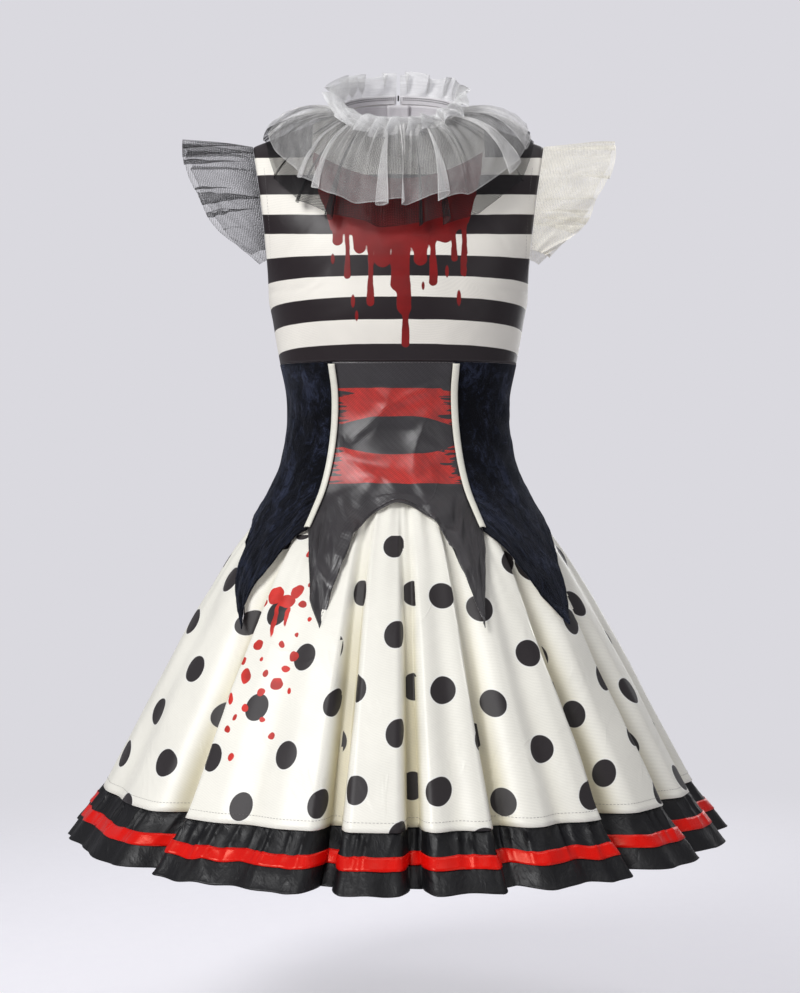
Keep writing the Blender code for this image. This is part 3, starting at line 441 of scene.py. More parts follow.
class Nodes:
    """Short names for the nodes of one tree; each takes sockets or plain values and gives a socket."""

    def __init__(self, tree):
        self.tree = tree

    def put(self, socket, value):
        if isinstance(value, bpy.types.NodeSocket):
            self.tree.links.new(value, socket)
        else:
            socket.default_value = value

    def add(self, kind, inputs=(), **settings):
        node = self.tree.nodes.new(kind if kind.startswith("NodeGroup") else f"ShaderNode{kind}")
        for name, value in settings.items():
            setattr(node, name, value)
        for name, value in dict(inputs).items():
            self.put(node.inputs[name], value)
        return node

    def math(self, operation, *values):
        node = self.add("Math", operation=operation)
        for socket, value in zip(node.inputs, values):
            self.put(socket, value)
        return node.outputs[0]

    def chain(self, operation, *values):
        """The operation on the first two values, then on its result and each further value."""
        result = values[0]
        for value in values[1:]:
            result = self.math(operation, result, value)
        return result

    def total(self, *values):
        return self.chain("ADD", *values)

    def times(self, *values):
        return self.chain("MULTIPLY", *values)

    def less(self, value, taken):
        return self.math("SUBTRACT", value, taken)

    def distance(self, across, up):
        return self.math("SQRT", self.total(self.times(across, across), self.times(up, up)))

    def band(self, value, low, high, start=0.0, end=1.0):
        """start below low, end above high, and a soft step between."""
        inputs = {"Value": value, "From Min": low, "From Max": high, "To Min": start, "To Max": end}
        return self.add("MapRange", inputs, interpolation_type="SMOOTHSTEP").outputs["Result"]

    def below(self, value, edge, soft):
        """1 below an edge and 0 above it."""
        return self.band(value, edge - soft, edge + soft, 1.0, 0.0)

    def above(self, value, edge, soft):
        """0 below an edge and 1 above it."""
        return self.band(value, edge - soft, edge + soft)

    def blend(self, mode, factor, first, second):
        node = self.add("Mix", data_type="RGBA", blend_type=mode)
        for index, value in ((0, factor), (6, first), (7, second)):
            single = isinstance(value, (float, bpy.types.NodeSocket))
            self.put(node.inputs[index], value if single else (*value, 1.0))
        return node.outputs[2]

    def mix(self, factor, first, second):
        return self.blend("MIX", factor, first, second)

    def tinted(self, tint, other):
        """A colour times another."""
        return self.blend("MULTIPLY", 1.0, tint, other)

    def darker(self, tint, *factors):
        """A colour times each factor."""
        for factor in factors:
            grey = self.add("CombineColor", {"Red": factor, "Green": factor, "Blue": factor})
            tint = self.tinted(tint, grey.outputs[0])
        return tint

    def scaled(self, vector, x, y, z=1.0, turn=0.0):
        inputs = {"Vector": vector, "Scale": (x, y, z), "Rotation": (0, 0, turn)}
        return self.add("Mapping", inputs).outputs[0]

    def divided(self, vector, size):
        """A vector over a size, for noise with features of about that size."""
        inputs = {0: vector, "Scale": self.math("DIVIDE", 1.0, size)}
        return self.add("VectorMath", inputs, operation="SCALE").outputs[0]

    def noise(self, vector, scale, detail=2.0, roughness=0.5, distortion=0.0):
        inputs = {"Vector": vector, "Scale": scale, "Detail": detail, "Roughness": roughness,
                  "Distortion": distortion}
        return self.add("TexNoise", inputs).outputs["Fac"]

    def patches(self, vector, x, y, detail=2.0, roughness=0.5, distortion=0.0, turn=0.0):
        """Noise with a scale of its own across and down."""
        return self.noise(self.scaled(vector, x, y, 1.0, turn), 1.0, detail, roughness, distortion)

    def wander(self, vector, x, y, detail, reach):
        """Noise that strays from 0, by half of its reach at most."""
        return self.times(self.less(self.patches(vector, x, y, detail), 0.5), reach)

    def split(self, vector):
        return self.add("SeparateXYZ", {"Vector": vector}).outputs

    def flat(self, name="cloth"):
        """Place on one of the cloth's maps, in millimetres."""
        return self.add("UVMap", uv_map=name).outputs[0]

    def group(self, name, **inputs):
        return self.add("Group", inputs, node_tree=bpy.data.node_groups[name]).outputs


def new_group(name, outputs, **inputs):
    """An empty node group that takes a place on the cloth and some values: nodes, inputs and outputs."""
    tree = bpy.data.node_groups.new(name, "ShaderNodeTree")
    tree.interface.new_socket(name="Cloth", in_out="INPUT", socket_type="NodeSocketVector")
    for label, default in inputs.items():
        socket = tree.interface.new_socket(name=label, in_out="INPUT", socket_type="NodeSocketFloat")
        socket.default_value = default
    for label in outputs:
        tree.interface.new_socket(name=label, in_out="OUTPUT", socket_type="NodeSocketFloat")
    nodes = Nodes(tree)
    return nodes, nodes.add("NodeGroupInput").outputs, nodes.add("NodeGroupOutput").inputs


def build_groups():
    """The effects that several materials share."""
    n, given, out = new_group("Weave", ("Height", "Shade"), Pitch=1.5, Turn=0.8)
    turning = {"Vector": given["Cloth"], "Angle": given["Turn"]}
    across, down = n.split(n.add("VectorRotate", turning, rotation_type="Z_AXIS").outputs[0])[:2]
    rate = n.math("DIVIDE", 2 * math.pi, given["Pitch"])
    ridge = n.math("SINE", n.times(across, rate))
    picks = n.math("SINE", n.times(down, rate, 0.37))
    slubs = n.patches(given["Cloth"], 0.15, 1.6)
    height = n.total(n.times(ridge, 0.5), n.times(picks, 0.2), slubs)
    n.put(out["Height"], height)
    n.put(out["Shade"], n.band(height, -0.6, 1.6, 0.9, 1.06))

    n, given, out = new_group("Creasing", ("Height",), Size=40.0, Sharpness=0.5)
    spread = n.divided(given["Cloth"], given["Size"])
    soft = n.noise(spread, 1.0, roughness=0.45, distortion=0.5)
    line = n.patches(spread, 1.5, 0.8, distortion=1.3, turn=0.6)
    ridge = n.band(n.math("ABSOLUTE", n.less(line, 0.5)), 0.0, 0.07, 1.0, 0.0)
    broken = n.band(n.patches(spread, 0.9, 1.3, detail=1.0, turn=2.1), 0.45, 0.62)
    n.put(out["Height"], n.total(soft, n.times(given["Sharpness"], ridge, broken, 0.35)))

    n, given, out = new_group("Net mesh", ("Thread", "Height"), Hole=1.7, Fullness=0.5)
    cells = n.add("TexVoronoi", {"Vector": n.divided(given["Cloth"], given["Hole"]), "Scale": 1.0,
                                 "Randomness": 0.35}, feature="DISTANCE_TO_EDGE", voronoi_dimensions="2D")
    mesh = n.band(cells.outputs["Distance"], 0.05, 0.22, 1.0, 0.0)
    haze = n.band(n.patches(given["Cloth"], 0.05, 0.02), 0.3, 0.7, 0.85, 1.15)
    n.put(out["Thread"], n.times(given["Fullness"], haze, n.band(mesh, 0.0, 1.0, 0.3, 2.3)))
    n.put(out["Height"], mesh)

    n, given, out = new_group("Handling", ("Shade",), Size=60.0, Strength=0.08)
    spots = n.noise(n.divided(given["Cloth"], given["Size"]), 1.0, detail=4.0, roughness=0.55)
    n.put(out["Shade"], n.total(1.0, n.times(given["Strength"], n.band(spots, 0.25, 0.75, -1.0, 0.6))))


# ---------------------------------------------------------------- materials

def new_material(name):
    made = bpy.data.materials.new(name)
    made.use_nodes = True
    return Nodes(made.node_tree), made.node_tree.nodes["Principled BSDF"]


def finish_material(n, shader, tint, rough, height, strength, distance=0.5, **uniform):
    """Joins colour, roughness and bump to the shader and sets its uniform values."""
    n.put(shader.inputs["Base Color"], tint)
    n.put(shader.inputs["Roughness"], rough)
    bump = n.add("Bump", {"Height": height, "Strength": strength, "Distance": distance * MM})
    n.put(shader.inputs["Normal"], bump.outputs[0])
    for key, value in uniform.items():
        shader.inputs[key.replace("_", " ")].default_value = value


def worn_cloth(n, weave, handling, creasing, relief):
    """The cloth's own wear, from a pitch and turn, two pairs of size and strength, and two heights.

    It gives the shades of the weave and the handling, the weave's height and the whole relief.
    """
    vector = n.flat()
    woven = n.group("Weave", Cloth=vector, Pitch=weave[0], Turn=weave[1])
    handled = n.group("Handling", Cloth=vector, Size=handling[0], Strength=handling[1])["Shade"]
    folds = n.group("Creasing", Cloth=vector, Size=creasing[0], Sharpness=creasing[1])["Height"]
    height = n.total(n.times(folds, relief[0]), n.times(woven["Height"], relief[1]))
    return woven["Shade"], handled, woven["Height"], height


def drip_edge(n, u, v, level):
    """Signed distance to a mass above a level with rounded drips below it; negative inside."""
    edge = n.less(level, v)
    for middle, half_width, end in DRIPS:
        below = n.math("MAXIMUM", n.less(end + half_width, v), 0.0)
        neck = n.band(v, end + 2 * half_width, end + 9 * half_width, half_width, half_width * 0.6)
        drip = n.less(n.distance(n.less(u, middle), below), neck)
        edge = n.math("SMOOTH_MIN", edge, drip, DRIP_BLEND)
    return edge


def drop_edge(n, u, v, table):
    """Signed distance to the nearest of a table's oval drops."""
    drops = []
    for middle, height, half_width, half_height in table:
        up = n.times(n.less(v, height), half_width / half_height)
        drops.append(n.less(n.distance(n.less(u, middle), up), half_width))
    return n.chain("MINIMUM", *drops)


def bib_print(n, printed, across, height):
    """1 inside the dripping print on the chest."""
    rag = n.wander(printed, 0.06, 0.05, detail=3.0, reach=BIB_RAG)
    bowed = n.times(across, across)
    level = n.total(BIB_LEVEL, n.times(rag, 2.4), n.times(bowed, BIB_BOW))
    mass = drip_edge(n, n.total(across, n.times(rag, 0.3)), height, level)
    sides = n.less(n.math("ABSOLUTE", n.total(across, rag)), n.band(height, *BIB_FLARE, *BIB_HALF_WIDTH))
    neckline = n.less(n.less(height, n.times(bowed, NECKLINE_BOW)), NECKLINE)
    edge = n.math("MINIMUM", n.chain("MAXIMUM", mass, sides, neckline), drop_edge(n, across, height, DROPS))
    depth = n.split(n.add("NewGeometry").outputs["Position"])[1]
    return n.times(n.below(edge, 0.0, PRINT_EDGE), n.below(depth, -0.001, 0.001))


def striped_satin(c):
    n, shader = new_material("striped satin")
    printed = n.flat("print")
    across, height = n.split(printed)[:2]
    level = n.total(height, n.wander(printed, 0.03, 0.03, detail=2.0, reach=STRIPE_WOBBLE))
    stripes = []
    for top, bottom in zip(STRIPES[::2], STRIPES[1::2] + (STRIPES_END,)):
        start = n.below(level, top, PRINT_EDGE)
        if top == STRIPES[0]:
            start = n.above(n.math("ABSOLUTE", across), SHOULDER_STRIPE, PRINT_EDGE)
        stripes.append(n.times(start, n.above(level, bottom, PRINT_EDGE)))
    dark = n.chain("MAXIMUM", *stripes)
    bib = bib_print(n, printed, across, height)
    red = n.darker(c.bib, n.band(n.patches(printed, 0.02, 0.03), 0.3, 0.7, 0.85, 1.25))
    tint = n.mix(bib, n.mix(dark, c.cream, c.stripe), red)
    woven, handled, _, relief = worn_cloth(
        n, weave=(0.9, 0.5), handling=(70.0, 0.05), creasing=(75.0, 0.15), relief=(2.2, 0.05))
    finish_material(n, shader, n.darker(tint, woven, handled), n.band(dark, 0.0, 1.0, 0.46, 0.38),
                    n.total(relief, n.times(bib, 0.12)), strength=0.55, distance=1.0, Sheen_Weight=0.05,
                    Specular_IOR_Level=0.38)


def lining(c):
    n, shader = new_material("pale lining")
    woven, handled, weave, relief = worn_cloth(
        n, weave=(1.1, 0.0), handling=(45.0, 0.08), creasing=(60.0, 0.2), relief=(1.0, 0.05))
    finish_material(n, shader, n.darker(c.tape, woven, handled), n.band(weave, 0.0, 1.0, 0.6, 0.5),
                    relief, strength=0.5, distance=1.0, Sheen_Weight=0.1)


def printed_satin(c):
    """Black satin of the waist with its two painted bands."""
    n, shader = new_material("painted black satin")
    printed = n.flat("print")
    across, height = n.split(printed)[:2]
    inward = n.less(1.0, n.math("ABSOLUTE", across))
    ragged = n.total(n.math("MINIMUM", n.times(inward, 4.0), 1.8),
                     n.times(n.patches(printed, 2.2, 0.19), 4.6), n.times(n.patches(printed, 3.1, 0.62), 0.9))
    level = n.total(height, n.wander(printed, 2.0, 0.05, detail=2.0, reach=1.6))
    bow = n.times(across, across, PAINT_BOW)
    (top, middle_top), (middle_bottom, bottom) = PAINTED_BANDS
    upper = n.times(n.below(level, top, PAINT_EDGE), n.above(n.total(level, bow), middle_top, PAINT_EDGE))
    lower = n.times(n.below(n.less(level, bow), middle_bottom, PAINT_EDGE), n.above(level, bottom, PAINT_EDGE))
    bands = n.times(n.math("MAXIMUM", upper, lower), n.above(ragged, 3.1, 0.04))
    mottled = n.darker(c.bands, n.band(n.patches(printed, 4.0, 0.06, detail=4.0), 0.25, 0.75, 0.85, 1.3))
    _, handled, weave, relief = worn_cloth(
        n, weave=(2.0, 0.82), handling=(38.0, 0.22), creasing=(80.0, 0.12), relief=(7.0, 0.16))
    tint = n.darker(n.mix(bands, c.satin, mottled), n.band(weave, 0.1, 1.0, 0.78, 1.3), handled)
    finish_material(n, shader, tint, n.band(handled, 0.85, 1.1, 0.40, 0.32), relief, strength=0.7,
                    distance=1.0, Specular_IOR_Level=0.75, Sheen_Weight=0.06)


def crushed_velvet(c):
    n, shader = new_material("crushed velvet")
    vector = n.flat()
    brushed = n.patches(vector, 0.10, 0.06, detail=4.0, roughness=0.65, distortion=1.2, turn=0.5)
    areas = n.patches(vector, 0.028, 0.02, detail=3.0, distortion=0.5, turn=-0.4)
    pile = n.patches(vector, 1.1, 0.7, detail=3.0, roughness=0.7, turn=0.5)
    lean = n.total(n.times(brushed, 0.55), n.times(areas, 0.35), n.times(pile, 0.35))
    # painted sheen: the crushed pile's own patches are painted lighter where the pile would catch the light
    light = n.band(lean, 0.60, 0.80)
    tint = n.darker(n.mix(light, c.velvet, c.velvet_painted_sheen), n.band(pile, 0.25, 0.75, 0.55, 1.35))
    finish_material(n, shader, tint, n.band(light, 0.0, 1.0, 0.95, 0.75),
                    n.total(n.times(brushed, 2.2), n.times(pile, 1.2)), strength=0.9, distance=1.0,
                    Sheen_Weight=0.34, Sheen_Roughness=0.35, Sheen_Tint=(0.30, 0.33, 0.44, 1.0),
                    Specular_IOR_Level=0.15)


def plain_satin(name, tint, pitch, turn, rough, crease, sharp, strength, handling, streak, **uniform):
    """A satin of one colour with its weave, creases and handling."""
    n, shader = new_material(name)
    woven, handled, _, relief = worn_cloth(
        n, (pitch, turn), (crease * 1.3, handling), (crease, sharp), (crease * 0.05, 0.06))
    if streak:
        streaks = n.patches(n.flat(), 0.10, 0.055, detail=3.0, roughness=0.55, distortion=0.6)
        relief = n.total(relief, n.times(streaks, streak))
    finish_material(n, shader, n.darker(tint, woven, handled),
                    n.band(handled, 0.85, 1.1, rough + 0.06, rough - 0.04), relief, strength,
                    distance=1.0, **uniform)


def dotted_satin(c, s):
    n, shader = new_material("dotted satin")
    across, down = n.split(n.flat("print"))[:2]
    spacing, radius = s.dot_spacing / MM, s.dot_width / MM / 2
    index = n.math("ROUND", n.math("DIVIDE", across, spacing))
    beside = n.less(across, n.times(index, spacing))
    odd = n.math("MODULO", n.math("ABSOLUTE", index), 2.0)
    shifted = n.less(down, n.times(odd, spacing))
    nearest = n.math("ROUND", n.math("DIVIDE", shifted, 2 * spacing))
    away = n.distance(beside, n.less(shifted, n.times(nearest, 2 * spacing)))
    dots = n.below(away, radius, 0.3)
    ring = n.times(n.below(away, radius + RING, 0.35), n.less(1.0, dots))
    tint = n.mix(n.times(ring, 0.6), n.mix(dots, c.skirt, c.dots), RING_COLOUR)
    splashed = n.flat("splash")
    stir = n.add("TexNoise", {"Vector": n.scaled(splashed, 0.06, 0.06), "Scale": 1.0, "Detail": 1.0})
    side, below = (n.total(place, n.times(n.less(part, 0.5), 8.0)) for place, part in zip(
        n.split(splashed)[:2], n.split(stir.outputs["Color"])[:2]))
    splash = n.below(drop_edge(n, side, below, SPLASHES), 0.0, 0.3)
    red = n.darker(c.splash, n.band(n.patches(splashed, 0.05, 0.05), 0.3, 0.7, 0.75, 1.2))
    woven, handled, _, relief = worn_cloth(
        n, weave=(1.0, 0.4), handling=(90.0, 0.05), creasing=(85.0, 0.35), relief=(3.0, 0.05))
    tint = n.darker(n.mix(splash, tint, red), woven, handled)
    # painted shade: the satin is painted dimmer and warmer the deeper it lies in a fold
    sunk = n.band(n.split(n.flat("fold"))[0], *SHADED_FOLD)
    tint = n.tinted(tint, n.mix(sunk, (1.0, 1.0, 1.0), FOLD_SHADE))
    finish_material(n, shader, tint, n.band(n.math("MAXIMUM", dots, splash), 0.0, 1.0, 0.36, 0.5), relief,
                    strength=0.5, distance=1.0, Sheen_Weight=0.05, Specular_IOR_Level=0.4)


def net(name, tint, hole, fullness, rough, **uniform):
    """Netting: its threads hide what lies behind, and its holes let it show."""
    n, shader = new_material(name)
    vector = n.flat()
    mesh = n.group("Net mesh", Cloth=vector, Hole=hole, Fullness=fullness)
    dense = n.split(n.flat("print"))[0]
    n.put(shader.inputs["Alpha"], n.math("MINIMUM", n.times(mesh["Thread"], n.total(1.0, dense)), 1.0))
    handled = n.group("Handling", Cloth=vector, Size=25.0, Strength=0.15)["Shade"]
    finish_material(n, shader, n.darker(tint, handled),
                    n.band(mesh["Thread"], 0.0, 1.0, rough + 0.1, rough - 0.1), mesh["Height"],
                    strength=0.3, distance=0.3, **uniform)


def thread(name, tint):
    n, shader = new_material(name)
    twist = n.noise(n.add("TexCoord").outputs["Object"], 1800.0)
    finish_material(n, shader, n.darker(tint, n.band(twist, 0.3, 0.7, 0.7, 1.15)),
                    n.band(twist, 0.0, 1.0, 0.5, 0.8), twist, strength=0.4, distance=0.2)


def brushed_metal(c):
    n, shader = new_material("zip metal")
    place = n.add("TexCoord").outputs["Object"]
    brushed = n.noise(n.scaled(place, 4000, 4000, 300), 1.0, detail=3.0)
    worn = n.noise(place, 500.0, detail=3.0)
    finish_material(n, shader, n.darker(c.metal, n.band(worn, 0.3, 0.7, 0.75, 1.1)),
                    n.band(n.total(brushed, worn), 0.6, 1.4, 0.22, 0.42), brushed, strength=0.25,
                    distance=0.1, Metallic=1.0)


PLAIN_SATINS = (    # name, colour, weave's pitch and turn, roughness, size and sharpness of the creases,
                    # strength of the relief, handling, streaks, what is the same all over
    ("cream piping", "piping", 0.9, 0.6, 0.42, 22.0, 0.3, 0.5, 0.06, 0.0, {"Sheen_Weight": 0.15}),
    ("black ruffle satin", "ruffle", 1.0, 0.7, 0.46, 20.0, 0.45, 0.55, 0.25, 2.4, {"Specular_IOR_Level": 0.42}),
    ("red ribbon", "ribbon", 0.7, 1.57, 0.27, 30.0, 0.3, 0.38, 0.12, 0.0,
     {"Specular_IOR_Level": 0.7, "Specular_Tint": (1.0, 0.42, 0.3, 1.0)}),
    ("woven tape", "tape", 0.8, 0.0, 0.62, 14.0, 0.2, 0.4, 0.06, 0.0, {"Sheen_Weight": 0.1}),
)
NETS = (            # name, colour, size of its holes against the net hole, fullness, roughness
    ("white organza", "organza", 0.5, 0.195, 0.5, {"Sheen_Weight": 0.2}),
    ("stiff white net", "frill", 0.6, 0.44, 0.55, {"Sheen_Weight": 0.2}),
    ("black collar net", "black_net", 1.1, 0.42, 0.6, {"Specular_IOR_Level": 0.25}),
    ("black net", "black_net", 1.2, 0.195, 0.6, {"Specular_IOR_Level": 0.3}),
    ("cream net", "cream_net", 1.0, 0.36, 0.55, {"Sheen_Weight": 0.3}),
)


def build_materials(scene):
    c, s = scene.costume_colours, scene.costume_sizes
    for build in (striped_satin, lining, printed_satin, crushed_velvet, brushed_metal):
        build(c)
    dotted_satin(c, s)
    for name, key, *values, uniform in PLAIN_SATINS:
        plain_satin(name, getattr(c, key), *values, **uniform)
    for name, key, hole, *values, uniform in NETS:
        net(name, getattr(c, key), s.net_hole / MM * hole, *values, **uniform)
    thread("dark thread", c.dark_thread)
    thread("grey thread", c.grey_thread)


# ---------------------------------------------------------------- pieces

BOX_FACES = ((0, 1, 3, 2), (4, 6, 7, 5), (0, 4, 5, 1), (2, 3, 7, 6), (0, 2, 6, 4), (1, 5, 7, 3))
STITCH_SIDES = 5
STITCH_PROFILE = ((0.0, 0.35), (0.16, 1.0), (0.84, 1.0), (1.0, 0.35))     # share of its length, of its width


def material(name):
    """A material of the costume, which the materials' operator makes first."""
    if name not in bpy.data.materials:
        raise RuntimeError(f"Make the materials first: there is no {name}")
    return bpy.data.materials[name]


def mesh_object(name, points, faces, finish, body="dress", smooth_angle=60.0):
    mesh = bpy.data.meshes.new(name)
    mesh.from_pydata([tuple(p) for p in np.asarray(points) * MM], [], faces)
    mesh.shade_smooth()
    mesh.set_sharp_from_angle(angle=math.radians(smooth_angle))
    mesh.materials.append(material(finish))
    made = bpy.data.objects.new(name, mesh)
    bpy.context.scene.collection.objects.link(made)
    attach(made, body)
    return made


def add_map(mesh, name, values, quads):
    """A UV map from one value for each point, or for each corner of each quad of the grid."""
    layer = mesh.uv_layers.new(name=name)
    corners = values if values.ndim == 4 else values.reshape(-1, 2)[quads]
    layer.data.foreach_set("uv", corners.reshape(-1, 2).ravel().astype(np.float32))


def cloth_piece(name, grid, wall, finish, inside=None, maps=None):
    """A sheet of cloth from a grid on its inner face, in place of the node that it is named after."""
    rows, columns = grid.shape[:2]
    corner = np.arange((rows - 1) * columns).reshape(rows - 1, columns)[:, :-1].ravel()
    quads = np.stack([corner, corner + columns, corner + columns + 1, corner + 1], axis=1)
    made = mesh_object(f"{name}_cloth", grid.reshape(-1, 3), quads.tolist(), finish)
    for label, values in {"cloth": cloth_map(grid), **(maps or {})}.items():
        add_map(made.data, label, values, quads)
    if inside:
        made.data.materials.append(material(inside))
    if wall:
        thicken = made.modifiers.new("wall", "SOLIDIFY")
        thicken.thickness = wall * MM
        thicken.offset = 1.0
        thicken.use_quality_normals = True
        thicken.material_offset = 1 if inside else 0
    points = grid * MM
    widths = lengths_along(points, 1)[:, -1]
    tall = float(lengths_along(points, 0)[-1].max())
    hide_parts(name)
    return made


def stitches(name, paths, finish, size=None, gap=None, thick=None):
    """Rows of stitches, each a small bar with pointed ends, along lines of points."""
    s = bpy.context.scene.costume_sizes
    size, gap = size or s.stitch / MM, gap or s.stitch_gap / MM
    radius = (thick or s.thread / MM) / 2
    shares, widths = np.array(STITCH_PROFILE).T
    points, faces = [], []
    for path in paths:
        run = lengths_along(path, 0)
        for start in np.arange(gap / 2, run[-1] - size, size + gap):
            line = at_lengths(path, run, start + size * shares)
            ahead = unit(line[-1] - line[0])
            side = unit(np.cross(ahead, (0.31, 0.22, 0.92)))
            up = np.cross(side, ahead)
            base = len(points)
            for middle, width in zip(line, widths):
                for k in range(STITCH_SIDES):
                    turn = 2 * math.pi * k / STITCH_SIDES
                    points.append(middle + (side * math.cos(turn) + up * math.sin(turn)) * radius * width)
            rings = [[base + ring * STITCH_SIDES + k for k in range(STITCH_SIDES)] for ring in range(len(line))]
            for ring, following in zip(rings, rings[1:]):
                for k in range(STITCH_SIDES):
                    ahead_k = (k + 1) % STITCH_SIDES
                    faces.append((ring[k], ring[ahead_k], following[ahead_k], following[k]))
            faces += [tuple(rings[0][::-1]), tuple(rings[-1])]
    return mesh_object(name, points, faces, finish)


# ---------------------------------------------------------------- bodice

def neck_ring(degrees, out=0.0, up=0.0):
    """Point on the sloping neck edge, moved out from it and up along the neck."""
    angle = np.radians(degrees)
    depth = NECK_BACKSET - (NECK_HALF_DEPTH + out) * np.cos(angle)
    width = (NECK_HALF_WIDTH + out) * np.sin(angle)
    ring = np.stack([width, depth, NECK_HEIGHT + NECK_SLOPE * depth], axis=-1)
    return ring + NECK_AXIS * np.reshape(np.asarray(up, float), (-1, 1))


def bodice_row(share, side, half_width, edge_depth, depth, height, from_centre=0.0):
    """One level row across the bodice; side is -1 for the front and 1 for the back."""
    edge_angle = math.atan2(half_width, edge_depth)
    edge_radius = math.hypot(half_width, edge_depth)
    n = BODICE_SQUARENESS
    full = math.sin(edge_angle) / (edge_radius ** -n - (math.cos(edge_angle) / depth) ** n) ** (1 / n)
    start = math.asin(from_centre / depth)
    angle = np.sign(share) * start + share * (edge_angle - start)
    radius = ring_radius(angle, full, depth, n)
    level = np.full_like(share, height)
    return np.stack([radius * np.sin(angle), side * radius * np.cos(angle), level], axis=-1)


def bodice_top(share, side, from_centre=0.0):
    """Where each column of the bodice ends: along the neck, then along the shoulder seam."""
    start = math.degrees(math.asin(from_centre / NECK_HALF_WIDTH))
    turn = np.clip(np.abs(share) / NECK_SHARE, 0, 1)
    angle = np.sign(share) * (start + turn * (90.0 - start))
    neck = neck_ring(angle if side < 0 else 180.0 - angle)
    corner = neck_ring([90.0])[0]
    reach = np.clip((np.abs(share) - NECK_SHARE) / (1 - NECK_SHARE), 0, 1)[:, None]
    seam = corner + (np.array(SHOULDER_POINT) - corner) * reach
    seam[:, 0] *= np.sign(share)
    at_neck = np.abs(share) <= NECK_SHARE
    end = np.where(at_neck[:, None], neck, seam)
    end[:, 1] += np.where(at_neck, 0.0, side * MEET / 2)
    steep = np.where(at_neck, np.cos(np.radians(90.0 * turn)), 0.0)
    pull = np.stack([0 * share, -side * (1 - (1 - NECK_CLIMB[0]) * steep), NECK_CLIMB[1] * steep], axis=-1)
    return end, pull


def bodice_grid(share, side, from_centre=0.0):
    """Rows of points down one side of the bodice, from its shoulder and neck edge to the waist seam."""
    edge, depth = (2, 3) if side < 0 else (4, 5)
    levels = []
    for height in BODICE_LOW_ROWS:
        half_width, front, back = (float(smooth(column(FORM, 0), column(FORM, i), [height])[0])
                                   for i in (1, 2, 3))
        levels.append((height, half_width, 0.0, front, 0.0, back))
    rows = []
    for level in levels + list(ARMHOLE):
        edge_depth = max(level[edge], MEET / 2)
        rows.append(bodice_row(share, side, level[1], edge_depth, level[depth], level[0], from_centre))
    below, start = rows[-2], rows[-1]
    end, end_pull = bodice_top(share, side, from_centre)
    reach = np.linalg.norm(end - start, axis=1, keepdims=True)
    start_pull = (start - below) / (ARMHOLE[-1][0] - ARMHOLE[-2][0]) * reach * CHEST_PULL
    for t in BODICE_TOP_STEPS:
        rows.append(hermite(start, start_pull, end, end_pull * reach * TOP_PULL, t))
    return np.array(rows[::-1])


def bodice_inner(side, sign=1):
    """The inner face of the frame's front, or of one back half, with even columns."""
    if side < 0:
        return moved_out(bodice_grid(np.linspace(-1, 1, 2 * BODICE_COLUMNS - 1), -1), EASE)
    share = np.append(1e-6, np.linspace(0, 1, BODICE_COLUMNS)[1:])
    grid = bodice_grid(share * sign, 1, ZIP_GAP)
    return moved_out(grid[:, ::-1] if sign > 0 else grid, EASE)


BODICE_WALL, LINING_LIFT = 1.1, 0.3     # the sheet's wall, and how far it lies off the frame's inner face


def print_map(grid, share):
    """Place in the print: across in millimetres, and the height that decides the stripe."""
    sag = np.interp(grid[..., 2], column(STRIPE_SAG, 0), column(STRIPE_SAG, 1))
    return np.stack([grid[..., 0], grid[..., 2] + sag * share ** 3], axis=-1)


FRONT_CREASES = (
    (-120, -262, -70, -228, 7, 0.9),
    (-96, -285, -60, -240, 6, -0.8),
    (118, -268, 74, -226, 7, 0.9),
    (92, -287, 66, -244, 5, -0.7),
    (58, -288, 52, -252, 4, 0.6),
    (-128, -180, -96, -150, 8, -1),
    (130, -176, 92, -146, 8, -1),
    (-30, -288, -26, -252, 5, 0.5),
)


def bodice_sheets():
    """The bodice's inner faces with fine even rows and columns."""
    return {"front": finer(bodice_inner(-1), BODICE_FRONT_ROWS),
            "back_right": finer(bodice_inner(1, -1), BODICE_BACK_ROWS),
            "back_left": finer(bodice_inner(1, 1), BODICE_BACK_ROWS)}


def make_bodice():
    for name, grid in bodice_sheets().items():
        flat = cloth_map(grid)
        share = np.abs(np.linspace(-1, 1, grid.shape[1]))
        if name != "front":
            share = np.linspace(*((1, 0) if name == "back_left" else (0, 1)), grid.shape[1])
        if name == "front":
            soft = creases(flat, FRONT_CREASES) + rumple(flat, size=95.0, seed=3, height=0.5)
        else:
            soft = rumple(flat, size=90.0, seed=len(name), height=0.6)
        lift = soft * arch(len(grid))[:, None] * (1 - share ** 8) + sewn_in(flat) + LINING_LIFT
        cloth_piece(f"bodice_{name}", moved_out(grid, lift), BODICE_WALL, "striped satin",
                    "pale lining", {"print": print_map(grid, share)})


# ---------------------------------------------------------------- waist panels

def panel_grid(hem, edges, hook=1.0):
    """The frame's waist panel: level rows, then rows down to the cut edge."""
    shares, hem_angles, hem_heights = (np.array(column(hem, i)) for i in range(3))
    angles, heights = [], []
    for height in PANEL_ROWS:
        left, right = edges(height)
        angles.append(left + (right - left) * shares)
        heights.append(np.full_like(shares, height))
    for step in range(1, POINT_ROWS + 1):
        f = step / POINT_ROWS
        angles.append(angles[len(PANEL_ROWS) - 1] * (1 - f ** hook) + hem_angles * f ** hook)
        heights.append(PANEL_ROWS[-1] * (1 - f) + hem_heights * f)
    return over_form(np.array(angles), np.array(heights), EASE)


def seam_angle(height, side):
    return float(smooth(column(PIPING_SEAMS, 0)[::-1], column(PIPING_SEAMS, side)[::-1], [height])[0])


def half_gap(height, degrees):
    """Half of a seam's gap as an angle, at that place on the form."""
    return math.degrees(MEET / 2 / np.linalg.norm(form_point(degrees, height)[..., :2]))


def satin_edges(height):
    left, right = seam_angle(height, 1), seam_angle(height, 2)
    return left + half_gap(height, left), right - half_gap(height, right)


def right_velvet_edges(height):
    right = seam_angle(height, 1)
    return -90 + half_gap(height, -90), right - half_gap(height, right)


